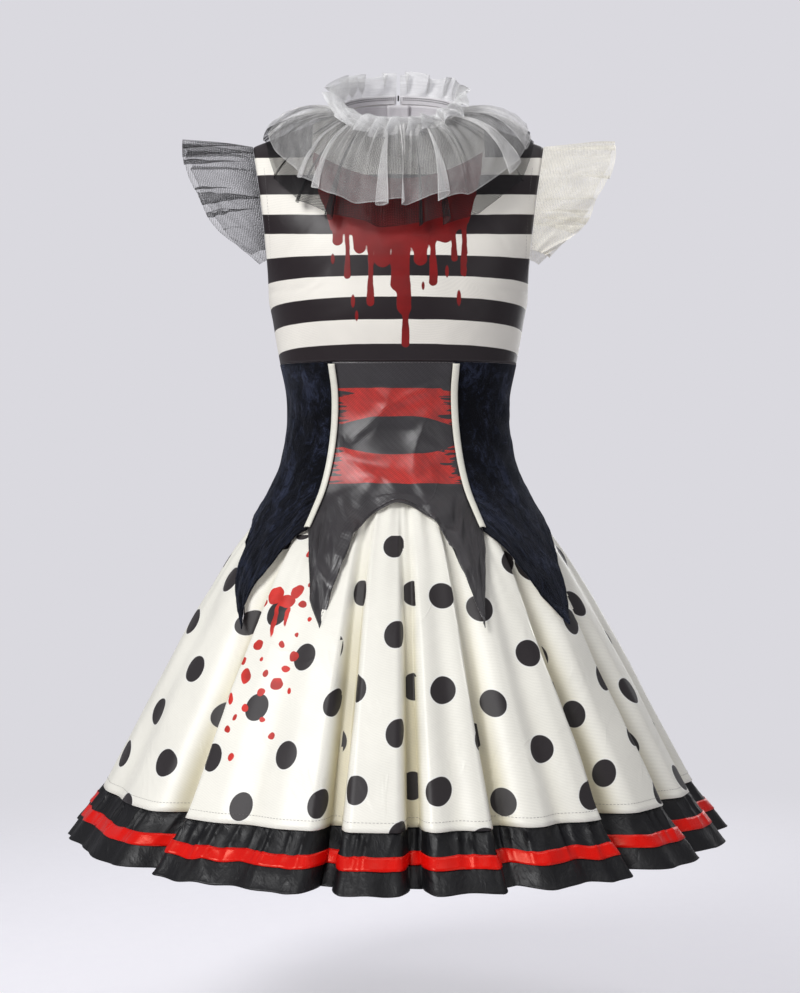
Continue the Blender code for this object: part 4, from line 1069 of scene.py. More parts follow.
def left_velvet_edges(height):
    left = seam_angle(height, 2)
    return left + half_gap(height, left), 90 - half_gap(height, 90)


def back_velvet_edges(height):
    opening = math.degrees(math.asin(ZIP_GAP / np.linalg.norm(form_point(180, height)[..., :2])))
    return 90 + half_gap(height, 90), 180 - opening


SATIN_WALL, VELVET_WALL, WAIST_LIFT = 1.2, 1.7, 0.2
EDGE_STITCH = 4.0    # how far the edge's stitching lies from it
STITCH_DIP, EDGE_RISE = 0.5, 0.35     # how far it pulls the cloth in, and how far the turned edge stands out
CREASE_HEIGHT = 2.0
SATIN_CREASES = (
    (-12, -52, 60, -18, 6, 1.3),
    (-8, -50, -58, -92, 6, 1.2),
    (0, -54, 56, -96, 7, 1.1),
    (-4, -46, -44, -14, 5, 0.9),
    (-60, -104, -8, -122, 7, -0.9),
    (18, -118, 66, -92, 7, 1),
    (-48, -170, -20, -128, 7, 1.1),
    (44, -176, 22, -134, 7, 1.1),
    (-60, -150, -64, -220, 7, 1.1),
    (62, -152, 68, -214, 7, 1),
    (-70, -228, -44, -236, 4, 1),
    (50, -196, 88, -204, 4, 1),
    (-30, -72, 34, -76, 9, -0.8),
)


WAIST_PANELS = (    # name, cut edge, seams, how late it turns to the cut edge, sharp corners, rows, columns
    ("waist_front", SATIN_HEM, satin_edges, 1.0, (4, 14), 116, 112),
    ("waist_side_right", VELVET_RIGHT_HEM, right_velvet_edges, 2.0, (4,), 88, 84),
    ("waist_side_left", VELVET_LEFT_HEM, left_velvet_edges, 1.0, (4,), 88, 84),
    ("waist_back_left", VELVET_BACK_HEM, back_velvet_edges, 1.0, (4,), 88, 96),
)


def waist_sheets():
    """The waist panels' inner faces with fine rows and columns."""
    panels = {}
    for name, hem, edges, hook, corners, rows, columns in WAIST_PANELS:
        panels[name] = finer(finer(panel_grid(hem, edges, hook), rows), columns, corners, axis=1)
    panels["waist_back_right"] = panels["waist_back_left"][:, ::-1] * MIRRORED
    return panels


def make_waist():
    for seed, (name, fine) in enumerate(waist_sheets().items()):
        flat = cloth_map(fine)
        rows, columns = fine.shape[:2]
        across, down = np.linspace(-1, 1, columns)[None, :], np.linspace(0, 1, rows)[:, None]
        held = (1 - np.abs(across) ** 6) * np.sin(np.pi * np.clip(down * 1.6, 0, 0.62))
        if name == "waist_front":
            soft = CREASE_HEIGHT * creases(flat, SATIN_CREASES)
            soft = soft + dented(flat, size=92.0, seed=11, height=2.6)
            soft = soft + dented(flat, size=54.0, seed=15, height=0.9)
            printed = np.stack([np.broadcast_to(across, (rows, columns)), fine[..., 2]], axis=-1)
            from_edge = lengths_along(fine, 0)[-1] - lengths_along(fine, 0)
            sewn = EDGE_RISE * (from_edge < EDGE_STITCH) - STITCH_DIP * np.exp(-(from_edge - EDGE_STITCH) ** 2)
            lift = soft * held + sewn + sewn_in(flat) + WAIST_LIFT
            cloth_piece(name, moved_out(fine, lift), SATIN_WALL, "painted black satin",
                        "pale lining", {"print": printed})
        else:
            soft = rumple(flat, size=42.0, seed=20 + seed, height=0.9)
            soft = soft + rumple(flat, size=19.0, seed=40 + seed, height=0.5)
            cloth_piece(name, moved_out(fine, soft * held + sewn_in(flat) + WAIST_LIFT), VELVET_WALL,
                        "crushed velvet", "pale lining")


PIPING_CROWN, PIPING_PINCH, PIPING_PINCHES = 1.6, 0.18, 46     # its rounding, and how sewing pinches it
PIPING_WALL, PIPING_ROWS = 1.2, 90


def make_piping():
    heights = np.append(np.array(PANEL_ROWS) - 1.0, (-412.0, PIPING_END))
    crown = np.linspace(-1, 1, 9)
    for name, side in (("right", 1), ("left", 2)):
        middle = np.array([seam_angle(h, side) for h in heights])
        radius = np.linalg.norm(form_point(middle, heights)[:, :2], axis=1)
        spread = np.degrees(PIPING_VISIBLE / 2 / radius)
        angles = middle[:, None] + spread[:, None] * crown
        rise = PIPING_LIFT + PIPING_CROWN * np.sqrt(1 - 0.96 * crown ** 2)[None, :]
        grid = finer(over_form(angles, heights[:, None], rise[..., None]), PIPING_ROWS)
        wave = np.sin(np.linspace(0, PIPING_PINCHES * np.pi, len(grid)))[:, None]
        pinch = PIPING_PINCH * wave * (1 - np.abs(crown))
        cloth_piece(f"piping_{name}", moved_out(grid, pinch), PIPING_WALL, "cream piping")


# ---------------------------------------------------------------- skirt, ruffle and ribbon

def skirt_columns():
    """Angles of the frame's skirt columns, which pace its gathers."""
    kept = [-180.0, -90.0, 90.0, 180.0]
    for trough, left, right, _ in SKIRT_FOLDS:
        for mark in (trough, trough - left, trough + right):
            if min(abs(mark - other) for other in kept) > NARROWEST_COLUMN:
                kept.append(mark)
    kept.sort()
    columns = [kept[0]]
    for a, b in zip(kept, kept[1:]):
        parts = max(1, math.ceil((b - a) / WIDEST_COLUMN))
        columns += [a + (b - a) * i / parts for i in range(1, parts + 1)]
    return np.array(columns)


FOLD_SCALE = 1.45    # cloth folds in further than the frame's solid does
FOLD_FLOOR = 0.38    # share of a steep flank's reach that its trough's floor takes
FOLD_LEAN = 0.46     # how far the middle of a steep flank leans over its trough, as a share of the flank
HEM_DEGREE = 6.4     # millimetres in a degree at the hem
RUFFLE_WAVE = 3.0    # depth of the frame's gathers at the ruffle's edge, as the cloth has it
TUCKED = (2.5, 1.6, 0.07)     # how far the ruffle reaches up behind the skirt, how far in, over what share
STEEP_FROM, STEEP_OVER = 0.4, 0.5     # slope from which a flank leans, and how much more makes it lean fully
LEAN_GROWTH = 1.6    # how late down the skirt the flanks begin to lean


def fold_shape(degrees):
    """How far the folds draw the skirt in at the hem, and by what angle steep flanks lean over."""
    depth, lean = np.zeros_like(degrees), np.zeros_like(degrees)
    for trough, left, right, deepest in SKIRT_FOLDS:
        away = wrapped(degrees - trough)
        reach = np.where(away < 0, left, right)
        steep = np.clip((FOLD_SCALE * deepest / (reach * HEM_DEGREE) - STEEP_FROM) / STEEP_OVER, 0, 1)
        flank = 1 - FOLD_FLOOR * steep
        rise = np.clip((1 - np.abs(away) / reach) / flank, 0, 1)
        here = FOLD_SCALE * deepest * rise * rise * (3 - 2 * rise)
        over = reach * flank * FOLD_LEAN * steep * 4 * rise * (1 - rise)
        lean = np.where(here > depth, -np.sign(away) * over, lean)
        depth = np.maximum(depth, here)
    return depth, lean


def drawn_angle(degrees, height):
    """Angle on the form as if its section were a stretched circle, which folds and print follow."""
    angle = np.radians(degrees)
    half_width, front, back = (np.interp(height, column(FORM, 0), column(FORM, i)) for i in (1, 2, 3))
    depth = np.where(np.cos(angle) > 0, front, back)
    turned = np.degrees(np.arctan2(np.sin(angle) * depth, np.cos(angle) * half_width))
    return turned + 360.0 * np.round((degrees - turned) / 360.0)


def gathers(degrees, columns):
    """0 on a crest and 1 in a valley of the frame's gathers."""
    phase = np.interp(degrees, columns, np.arange(len(columns))) - list(columns).index(90.0)
    return 0.5 + 0.5 * np.cos(np.pi * phase)


def skirt_grid(degrees, columns, heights):
    heights = heights[:, None]
    down = np.clip((SKIRT_TOP - heights) / (SKIRT_TOP - HEM), 0, 1)
    folded, lean = fold_shape(drawn_angle(degrees[None, :], heights))
    inset = folded * down ** FOLD_RISE
    inset = inset + WAIST_GATHER * gathers(degrees, columns) * np.clip(1 - down / GATHER_REACH, 0, 1)
    inset = inset + np.interp(SKIRT_TOP - heights, column(TUCK, 0), column(TUCK, 1))
    return form_point(degrees[None, :] + lean * down ** LEAN_GROWTH, heights, -inset)


def ruffle_grid(degrees, columns, steps):
    f = steps[:, None]
    gather = HEM_GATHER + (RUFFLE_WAVE - HEM_GATHER) * f
    folded, lean = fold_shape(drawn_angle(degrees[None, :], HEM + 0 * f))
    inset = folded * (1 + FOLD_GROWTH * f) + gather * gathers(degrees, columns)
    turned = degrees[None, :] + lean * (1 + FOLD_GROWTH * f)
    inset = inset + TUCKED[1] * np.exp(-(f / TUCKED[2]) ** 2)
    return form_point(turned, HEM + TUCKED[0] - (RUFFLE_DROP + TUCKED[0]) * f, -inset)


def dot_map(grid, smooth_form, drawn, slant):
    """Place in the dotted print for each corner of each quad, panel by panel between the folds."""
    across, plain = lengths_along(grid, 1), lengths_along(smooth_form, 1)
    rows, columns = grid.shape[:2]
    middles = (drawn[1:, 1:] + drawn[:-1, :-1]) / 2
    share = (slant[:, columns // 2] - DOT_LINES[0]) / DOT_LINES[1]
    starts = [high + (low - high) * share for high, low, *_ in DOT_PANELS] + [270.0 + 0 * share]
    panel = np.maximum(sum((middles >= start[:-1, None]).astype(int) for start in starts[:-1]) - 1, 0)
    corners = np.zeros((rows - 1, columns - 1, 4, 2))
    splash = np.full_like(corners, NO_SPLASH)
    for index, (_, _, high, low, dot, stretch, tilt) in enumerate(DOT_PANELS):
        axis = high + (low - high) * share
        middle = (starts[index] + starts[index + 1]) / 2
        zero = np.array([np.interp(middle[r], drawn[r], across[r]) - np.interp(middle[r], drawn[r], plain[r])
                         + np.interp(axis[r], drawn[r], plain[r]) for r in range(rows)])
        u = (across - zero[:, None]) / stretch
        values = np.stack([u, (dot - slant) / DOT_STRETCH + tilt * u], axis=-1)
        splashed = np.stack([u, slant], axis=-1) / np.array((SPLASH_SCALE, 1.0))
        mine = panel == index
        for k, (dr, dc) in enumerate(((0, 0), (1, 0), (1, 1), (0, 1))):
            part = slice(dr, rows - 1 + dr), slice(dc, columns - 1 + dc)
            corners[:, :, k][mine] = values[part][mine]
            if index == SPLASH_PANEL:
                splash[:, :, k][mine] = splashed[part][mine]
    return corners, splash


SKIRT_WALL, RUFFLE_WALL = 1.1, 1.0
SKIRT_HEIGHTS = np.linspace(SKIRT_TOP, HEM, 74)
SKIRT_COLUMNS, RUFFLE_COLUMNS = 381, 761
HEM_STITCH, STITCH_LIFT = 8.5, 0.15     # height of the hem's stitching above its seam, and off the cloth
SIDE_FREEDOM = 0.3   # how soon the cloth moves freely beside a seam; a small value is soon
RUFFLE_GATHERS = 62
RUFFLE_GATHER = (2.1, 0.1, 0.42)     # height of its gathers, where they are highest, how far down they reach
RUFFLE_ROLL = 1.7                    # height of its slow waves at the free edge
ROLLED_EDGE = (0.45, 0.03)           # how far its hem stands out, over what share of it
RIBBON_WALL, RIBBON_LIFT = 0.6, 0.4
RIBBON = (0.425, 0.64)     # where the ribbon's edges lie down the ruffle
RUFFLE_STEPS = np.concatenate([np.linspace(0, RIBBON[0], 11)[:-1], np.linspace(*RIBBON, 6)[:-1],
                               np.linspace(RIBBON[1], 0.95, 7)[:-1], np.linspace(0.95, 1, 3)])


def half_span(low, high, count):
    """Angles of the columns of half a skirt, which stop short of its seams."""
    gap = math.degrees(MEET / 2 / FORM[1][1])
    return np.linspace(low + gap, high - gap, count)


def make_skirt_half(name, low, high):
    """Half of the skirt; gives the line of its hem's stitching."""
    span = half_span(low, high, SKIRT_COLUMNS)
    turned, heights = wrapped(span), SKIRT_HEIGHTS[:, None]
    grid = moved_out(skirt_grid(turned, skirt_columns(), SKIRT_HEIGHTS), -CLOTH)
    flat = cloth_map(grid)
    plain = form_point(turned[None, :], heights)
    slant = lengths_along(plain, 0)
    sagging = rumple(flat, size=110.0, seed=61 + len(name), height=2.0, drawn=0.35)
    soft = sagging * arch(len(grid))[:, None] * arch(len(span)) ** SIDE_FREEDOM
    shaped = moved_out(grid, soft + sewn_in(flat))
    dots, splash = dot_map(grid, plain, drawn_angle(span[None, :], heights), slant)
    if name == "front":
        dots[slant[:-1, 0] < PLAIN_TOP] = BETWEEN_DOTS
    folded, _ = fold_shape(drawn_angle(turned[None, :], heights))
    # each point's depth in its fold, which sets the dotted satin's painted shade
    sunk = np.stack([folded * np.linspace(0, 1, len(grid))[:, None] ** FOLD_RISE, slant], axis=-1)
    cloth_piece(f"skirt_{name}", shaped, SKIRT_WALL, "dotted satin", None,
                {"print": dots, "splash": splash, "fold": sunk})
    outside = moved_out(shaped, SKIRT_WALL + STITCH_LIFT)
    at = np.interp(HEM + HEM_STITCH, SKIRT_HEIGHTS[::-1], np.arange(len(SKIRT_HEIGHTS))[::-1])
    row = int(at)
    return outside[row] * (1 - at + row) + outside[row + 1] * (at - row)


def make_ruffle_half(name, low, high):
    """Half of the hem ruffle, with the ribbon on it."""
    span = half_span(low, high, RUFFLE_COLUMNS)
    ruffle = ruffle_grid(wrapped(span), skirt_columns(), RUFFLE_STEPS)
    flat, down = cloth_map(ruffle), RUFFLE_STEPS[:, None]
    turn, strength = pleats(span, low, high, RUFFLE_GATHERS, seed=70 + len(name), uneven=0.35)
    wide_turn, wide_strength = pleats(
        span, low, high, RUFFLE_GATHERS // 3, seed=90 + len(name), uneven=0.35)
    pinch = 1 - 2 * np.abs(np.cos(turn / 2 + 1.2 * down)) ** 0.7
    free = 1 - np.exp(-(down / TUCKED[2]) ** 2)
    height, highest, reach = RUFFLE_GATHER
    gathered = height * np.exp(-((down - highest) / reach) ** 2) * strength * pinch * free
    rolling = RUFFLE_ROLL * down ** 0.8 * wide_strength * np.sin(wide_turn - 0.8 * down)
    dents = dented(flat, size=44.0, seed=81 + len(name), height=1.1, drawn=0.6)
    hemmed = ROLLED_EDGE[0] * np.exp(-((1 - down) / ROLLED_EDGE[1]) ** 2)
    lively = gathered + rolling + dents * np.sin(np.pi * down) ** 0.5 + hemmed
    lift = -CLOTH - 0.6 + lively * arch(len(span)) ** SIDE_FREEDOM + sewn_in(flat)
    shaped = moved_out(ruffle, lift)
    cloth_piece(f"hem_ruffle_{name}", shaped, RUFFLE_WALL, "black ruffle satin")
    band = (RUFFLE_STEPS >= RIBBON[0] - 1e-6) & (RUFFLE_STEPS <= RIBBON[1] + 1e-6)
    cloth_piece(f"hem_ribbon_{name}", moved_out(shaped, RUFFLE_WALL + RIBBON_LIFT)[band], RIBBON_WALL,
                "red ribbon")


def make_skirt():
    lines = []
    for half in (("front", -90.0, 90.0), ("back", 90.0, 270.0)):
        lines.append(make_skirt_half(*half))
        make_ruffle_half(*half)
    stitches("hem_stitching", lines, "grey thread", thick=0.35)


# ---------------------------------------------------------------- neck

BAND_CLOTH_WALL, BAND_COLUMNS, BAND_ROWS = 1.5, 145, 9
BAND_RIBS, RIB_HEIGHT = 3, 0.25     # ribs of the tape, one above the other


def make_band():
    degrees = np.linspace(-BAND_END, BAND_END, BAND_COLUMNS)
    rise = np.interp(np.abs(degrees), column(BAND_SEAT, 0), column(BAND_SEAT, 1))
    bottom = neck_ring(degrees, 0.0, SEAM + (EASE + CLOTH) * rise)
    top = neck_ring(degrees, 0.0, BAND_HEIGHT)
    band = moved_out(np.array([top, bottom]), EASE + CLOTH - BAND_WALL)
    grid = np.array([band[0] * (1 - t) + band[1] * t for t in np.linspace(0, 1, BAND_ROWS)])
    ribs = RIB_HEIGHT * np.abs(np.sin(np.linspace(0, BAND_RIBS * np.pi, BAND_ROWS)))[:, None]
    cloth_piece("neck_band", moved_out(grid, ribs), BAND_CLOTH_WALL, "woven tape")


FADING_DEGREES = 6.0


def outward(angle):
    """Level directions away from the neck, at angles in radians."""
    return np.stack([np.sin(angle), -np.cos(angle), 0 * angle], axis=-1)


def fading(degrees, end):
    """1 all round, and down to 0 over the last degrees before the two ends at the back."""
    return np.clip((end - np.abs(degrees)) / FADING_DEGREES, 0, 1)


def collar_row(degrees, sizes, t, ripple):
    """One row of a collar layer, t of the way from the band over the shoulders and down the chest."""
    base_height, side, front, back, side_height, front_drop, back_drop, square, bulge = sizes
    angle = np.radians(degrees)
    depth = np.where(np.cos(angle) > 0, front, back)
    drop = np.where(np.cos(angle) > 0, front_drop, back_drop)
    reach = ring_radius(angle, side, depth, COLLAR_SQUARENESS)
    away, up = outward(angle), np.array((0, 0, 1.0))
    base = neck_ring(degrees, EASE + CLOTH + 2 * SEAM, base_height)
    fall = drop * (1 - (1 - np.abs(np.cos(angle))) ** square)
    edge_height = side_height * np.sin(angle) ** 2 - fall
    edge = away * reach[:, None] + up * edge_height[:, None]
    chord = edge - base
    across = np.sum(chord * away, axis=1)
    normal = unit(away * -chord[:, 2:] + up * across[:, None])
    lift = 4 * bulge * t * (1 - t) + ripple
    return base + chord * np.reshape(t, (-1, 1)) + normal * lift[:, None]


def pleats(at, low, high, count, seed, uneven, warp=0.0, weakest=0.55):
    """Uneven folds between two ends, closer in front by a warp: the turn of each, and how strong it is."""
    chance = np.random.default_rng(seed)
    at = at + warp * np.sin(np.radians(at))
    marks = np.linspace(low, high, count + 1)
    marks[1:-1] += chance.uniform(-uneven, uneven, count - 1) * (high - low) / count
    turn = smooth(marks, 2 * np.pi * np.arange(count + 1), at)
    return turn, smooth(marks, chance.uniform(weakest, 1.3, count + 1), at)


NET_WALL = 0.0      # a net is a single sheet
HEM_LINE = 1.0      # width of a net's edge


def density(folded, plain, hem, top, gathered, crisp, gain):
    """How much denser a net looks at each point: where it is folded edge on, at its gathers and at its hem."""
    facing = np.abs(np.sum(grid_normals(folded) * grid_normals(plain), axis=-1))
    value = gain * np.clip(1 / np.maximum(facing, 0.2) - 1, 0, 3.0) ** crisp
    down = lengths_along(plain, 0)
    value += top * np.exp(-down / gathered) + hem * (down > down[-1:] - HEM_LINE)
    return np.stack([value, np.zeros_like(value)], axis=-1)


PUCKER, PUCKER_REACH = 1.7, 0.2     # height of the small gathers under the neck, and where they are highest
COLLAR_FOLDS = {    # folds, seed, how far they lean in degrees, how high they stand, how far a fold hangs
    "collar_net_black": (20, 5, 5.2, 4.0, 0.026),
    "collar_organza_white": (22, 16, 5.4, 4.2, 0.022),
}


COLLAR_FINISHES = {     # material, slot, how much denser it looks at its gathers, how far down they reach
    "collar_net_black": ("black collar net", "black_net", 1.6, 22.0),
    "collar_organza_white": ("white organza", "white_net", 0.9, 12.0),
}
COLLAR_COLUMNS, COLLAR_ROWS, LAST_ROW = 801, 22, 0.985     # one more narrow row makes the edge


def make_collars():
    degrees = np.linspace(-NECK_FRILL_END, NECK_FRILL_END, COLLAR_COLUMNS)
    steps = np.append(np.linspace(0, LAST_ROW, COLLAR_ROWS), 1.0)
    still = np.zeros_like(degrees)
    for name, *sizes in COLLARS:
        count, seed, lean, stand, hang = COLLAR_FOLDS[name]
        ends = -NECK_FRILL_END, NECK_FRILL_END
        turn, strength = pleats(degrees, *ends, count, seed, uneven=0.42, weakest=0.2)
        puckers, _ = pleats(degrees, *ends, 3 * count, seed + 1, uneven=0.4)
        fade = fading(degrees, NECK_FRILL_END)
        rows, plain = [], []
        for t in steps:
            sway = strength * fade * np.sin(turn + 0.5 * t)
            leaning = degrees + lean * t ** 0.55 * sway
            swing = strength * np.sin(turn - 1.1) + 1.6 * np.sin(turn / 5.2 + seed)
            reach = t * (1 + hang * t * fade * swing)
            ripple = stand * (0.25 + 0.75 * t) * t ** 0.5 * sway + 0.3
            near = t / PUCKER_REACH
            ripple = ripple + PUCKER * near * math.exp(1 - near) * np.sin(puckers) * fade
            rows.append(collar_row(leaning, sizes, reach, ripple))
            plain.append(collar_row(degrees, sizes, t, still))
        grid, plain = np.array(rows), np.array(plain)
        soft = rumple(cloth_map(grid), size=40.0, seed=seed, height=1.1, drawn=0.3) * steps[:, None]
        grid = moved_out(grid, soft)
        finish, slot, top, gathered = COLLAR_FINISHES[name]
        dense = density(grid, plain, hem=0.9, top=top, gathered=gathered, crisp=1.3, gain=2.2)
        cloth_piece(name, grid, NET_WALL, finish, None, {"print": dense})


FRILL_FOLDS, FRILL_SEED, FRILL_WARP = 21, 23, 16.0
FRILL_FOLD_LEAN, FRILL_FOLD_STAND, FRILL_END = 11.5, 8.5, 178.3
FRILL_HANG, FRILL_NARROWING, FRILL_FRONT_SWAY = 0.13, 0.36, 0.45
FRILL_SIDE_LEAN, FRILL_FALL = 24.0, 32.0     # how much further it leans at the sides, and falls in front
FRILL_CURL = 0.8                             # how early in its width the front turns over
FRILL_COLUMNS, FRILL_ROWS = 701, 18


def neck_frill_grid(degrees, folded):
    """The standing frill: upright behind the neck, and turned down outwards over the collar at the front."""
    turn, strength = pleats(degrees, -180.0, 180.0, FRILL_FOLDS, FRILL_SEED, uneven=0.42, warp=FRILL_WARP,
                            weakest=0.35)
    angle = np.radians(degrees)
    sway = strength * np.sin(turn) * fading(degrees, FRILL_END) * folded
    sway = sway * (1 + FRILL_FRONT_SWAY * np.clip(np.cos(angle), 0, 1))
    away = outward(angle)
    away = unit(away - NECK_AXIS * (away @ NECK_AXIS)[:, None])
    frontness = np.clip(np.cos(angle), 0, 1) ** NECK_FRILL_TURN
    sideways = FRILL_SIDE_LEAN * np.abs(np.sin(angle)) ** 2
    turned = NECK_FRILL_LEAN[0] + FRILL_FALL - NECK_FRILL_LEAN[1]
    lean = np.radians(NECK_FRILL_LEAN[1] + sideways + turned * frontness)
    width = NECK_FRILL_WIDTH[1] + (NECK_FRILL_WIDTH[0] - NECK_FRILL_WIDTH[1]) * frontness
    width = width * (1 - FRILL_NARROWING * frontness)
    width = width * (1 + FRILL_HANG * folded * strength * np.sin(0.5 * turn + 1.0))
    point = neck_ring(degrees, EASE + CLOTH / 2, BAND_HEIGHT + SEAM)
    rows, last = [point], 0.0
    for t in NECK_FRILL_STEPS[1:]:
        bend = lean * ((t + last) / (1 + NECK_FRILL_STEPS[-2])) ** (1 - FRILL_CURL * frontness)
        step = (t - last) * width[:, None]
        point = point + step * (NECK_AXIS * np.cos(bend)[:, None] + away * np.sin(bend)[:, None])
        tilt = NECK_AXIS * -np.sin(bend)[:, None] + away * np.cos(bend)[:, None]
        sideward = np.cross(NECK_AXIS, away)
        rows.append(point + tilt * (FRILL_FOLD_STAND * t ** 0.7 * sway)[:, None]
                    + sideward * (FRILL_FOLD_LEAN * t ** 0.6 * sway)[:, None])
        last = t
    return np.array(rows)


def make_neck_frill():
    degrees = np.linspace(-FRILL_END, FRILL_END, FRILL_COLUMNS)
    grid, plain = (finer(neck_frill_grid(degrees, folded), FRILL_ROWS) for folded in (1.0, 0.0))
    down = np.linspace(0, 1, len(grid))[:, None]
    grid = moved_out(grid, rumple(cloth_map(grid), size=24.0, seed=97, height=0.6, drawn=0.3) * down)
    dense = density(grid, plain, hem=1.6, top=0.5, gathered=9.0, crisp=1.2, gain=1.3)
    cloth_piece("neck_frill", grid, NET_WALL, "stiff white net", None,
                {"print": dense})


# ---------------------------------------------------------------- sleeves

def frame_bodice():
    """The frame's own coarse bodice grids, which its sleeves and zip are laid on."""
    half = np.append(np.linspace(0, NECK_SHARE, 7), np.linspace(NECK_SHARE, 1, 5)[1:])
    grids = {"front": moved_out(bodice_grid(np.append(-half[:0:-1], half), -1), EASE)}
    half[0] = 1e-6
    for name, sign in (("right", -1), ("left", 1)):
        grid = bodice_grid(half * sign, 1, ZIP_GAP)
        grids[name] = moved_out(grid[:, ::-1] if sign > 0 else grid, EASE)
    return grids


def armhole_path(grids, sign):
    """The armhole's edge on one side, from its start on the front over the shoulder to its back end."""
    front = grids["front"][::-1, -1 if sign > 0 else 0]
    back = grids["left"][1:, 0] if sign > 0 else grids["right"][1:, -1]
    path = np.concatenate([front[front[:, 2] >= SLEEVE_START], back[back[:, 2] >= SLEEVE_START]])
    return path * np.array((sign, 1, 1))


def along(path, shares):
    """Points at those shares of a path's length."""
    run = lengths_along(path, 0)
    return at_lengths(path, run, shares * run[-1])


SLEEVES = (         # name, side, column of its lengths, material, slot, folds, seed, how far they lean as a
                    # share of the armhole, how high they stand
    ("right", -1, 1, "black net", "black_net", 13, 8, 0.024, 6.5),
    ("left", 1, 2, "cream net", "cream_net", 12, 31, 0.020, 5.5),
)
SLEEVE_COLUMNS, SLEEVE_ROWS, SLEEVE_FADE = 401, 24, 0.05     # the folds fade over that share at each end


def sleeve_row(path, lengths, shares, t, ripple):
    """One row of a sleeve, t of the way from the armhole to its edge."""
    shares = np.clip(shares, 0, 1)
    base = along(path, shares)
    radial = base - np.array((0, *SLEEVE_CENTRE))
    radial[:, 0] = 0
    radial = unit(radial)
    reach = smooth(column(SLEEVE_LENGTHS, 0), lengths, shares)
    point = base + radial * (CLOTH + SLEEVE_FLARE * reach * t + ripple)[:, None]
    point[:, 0] += SLEEVE_SEAT + reach * t
    point[:, 2] -= SLEEVE_DROOP * t * t
    return point


def make_sleeves():
    grids = frame_bodice()
    shares, steps = np.linspace(0, 1, SLEEVE_COLUMNS), np.linspace(0, 1, SLEEVE_ROWS)
    fade = np.clip(np.minimum(shares, 1 - shares) / SLEEVE_FADE, 0, 1)
    for name, sign, index, finish, slot, count, seed, lean, stand in SLEEVES:
        path, lengths = armhole_path(grids, sign), column(SLEEVE_LENGTHS, index)
        turn, strength = pleats(shares, 0.0, 1.0, count, seed, uneven=0.44, weakest=0.2)
        rows, plain = [], []
        for t in steps:
            sway = strength * fade * np.sin(turn + 0.6 * t)
            rows.append(sleeve_row(path, lengths, shares + lean * (0.35 + 0.65 * t) * sway, t,
                                   stand * (0.15 + 0.85 * t) * sway))
            plain.append(sleeve_row(path, lengths, shares, t, 0 * shares))
        mirror = np.array((sign, 1, 1))
        grid, plain = (np.array(part)[:, ::sign] * mirror for part in (rows, plain))
        soft = rumple(cloth_map(grid), size=30.0, seed=seed, height=1.6, drawn=0.35) * steps[:, None]
        grid = moved_out(grid, soft)
        dense = density(grid, plain, hem=0.6, top=1.6, gathered=16.0, crisp=1.25, gain=1.3)
        cloth_piece(f"sleeve_{name}", grid, NET_WALL, finish, None, {"print": dense})


# ---------------------------------------------------------------- zip

def zip_grid(bodice, panel):
    """The zip's tapes as one strip down the inside of the back."""
    halves = np.concatenate([bodice[:-1, [-1, -2]], panel[:len(PANEL_ROWS), [-1, -2]]])
    edge, inside = halves[:, 0], halves[:, 1]
    outer = edge + (inside - edge) * (ZIP_HALF_WIDTH - edge[:, :1]) / (inside[:, :1] - edge[:, :1])
    return np.stack([outer, edge, edge * MIRRORED, outer * MIRRORED], axis=1)


ZIP_WALL, ZIP_ROWS = 0.9, 110
TEETH_START, TEETH_END = 34.0, 3.0       # how far from the tape's top and bottom the teeth stay
TEETH_LIFT = 0.35                        # how far off the tape's outer face the teeth sit
TOOTH = ((-0.45, 2.1), (-0.45, 0.45), (0.0, 0.75))     # its extent across, along and out of the tape
TOOTH_ALONG, TOOTH_TIP = 0.8, 0.8        # share of that extent that it takes along, and at its tip


def make_zip_tape():
    """The tapes as one strip; gives the line on which the teeth sit."""
    panel = panel_grid(VELVET_BACK_HEM, back_velvet_edges)
    fine = finer(moved_out(zip_grid(frame_bodice()["left"], panel), -2 * SEAM - NET), ZIP_ROWS)
    shares = (0.0, 0.33, 0.66)
    between = [fine[:, k:k + 1] * (1 - t) + fine[:, k + 1:k + 2] * t for k in range(3) for t in shares]
    cloth_piece("back_zip", np.concatenate(between + [fine[:, 3:]], axis=1), ZIP_WALL, "woven tape")
    return moved_out(fine, NET + TEETH_LIFT)[:, 1:3].mean(axis=1)


def make_zip_teeth(line):
    """Teeth from the slider down, in turn on the left and on the right."""
    run = lengths_along(line, 0)
    pitch = bpy.context.scene.costume_sizes.teeth / MM
    points, faces = [], []
    for index, at in enumerate(np.arange(TEETH_START, run[-1] - TEETH_END, pitch / 2)):
        place = at_lengths(line, run, at)
        ahead = unit(at_lengths(line, run, at + 1.0) - place)
        out = np.cross(ahead, (1.0, 0, 0))
        out *= np.sign(out[1])
        side = 1 if index % 2 else -1
        base = len(points)
        for x, y, z in itertools.product(*TOOTH):
            grow = 1.0 if x > 0 else TOOTH_TIP
            points.append(place + np.array((side * x, 0, 0)) + ahead * y * TOOTH_ALONG * grow + out * z * grow)
        faces += [tuple(base + k for k in (face if side > 0 else face[::-1])) for face in BOX_FACES]
    mesh_object("zip_teeth", points, faces, "woven tape", smooth_angle=20.0)


def make_zip():
    make_zip_teeth(make_zip_tape())
    for name in ("zip_slider", "zip_pull"):
        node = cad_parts[name]
        if not node.material_slots:
            node.data.materials.append(material("zip metal"))
        for slot in node.material_slots:
            slot.material = material("zip metal")


# ---------------------------------------------------------------- sewing

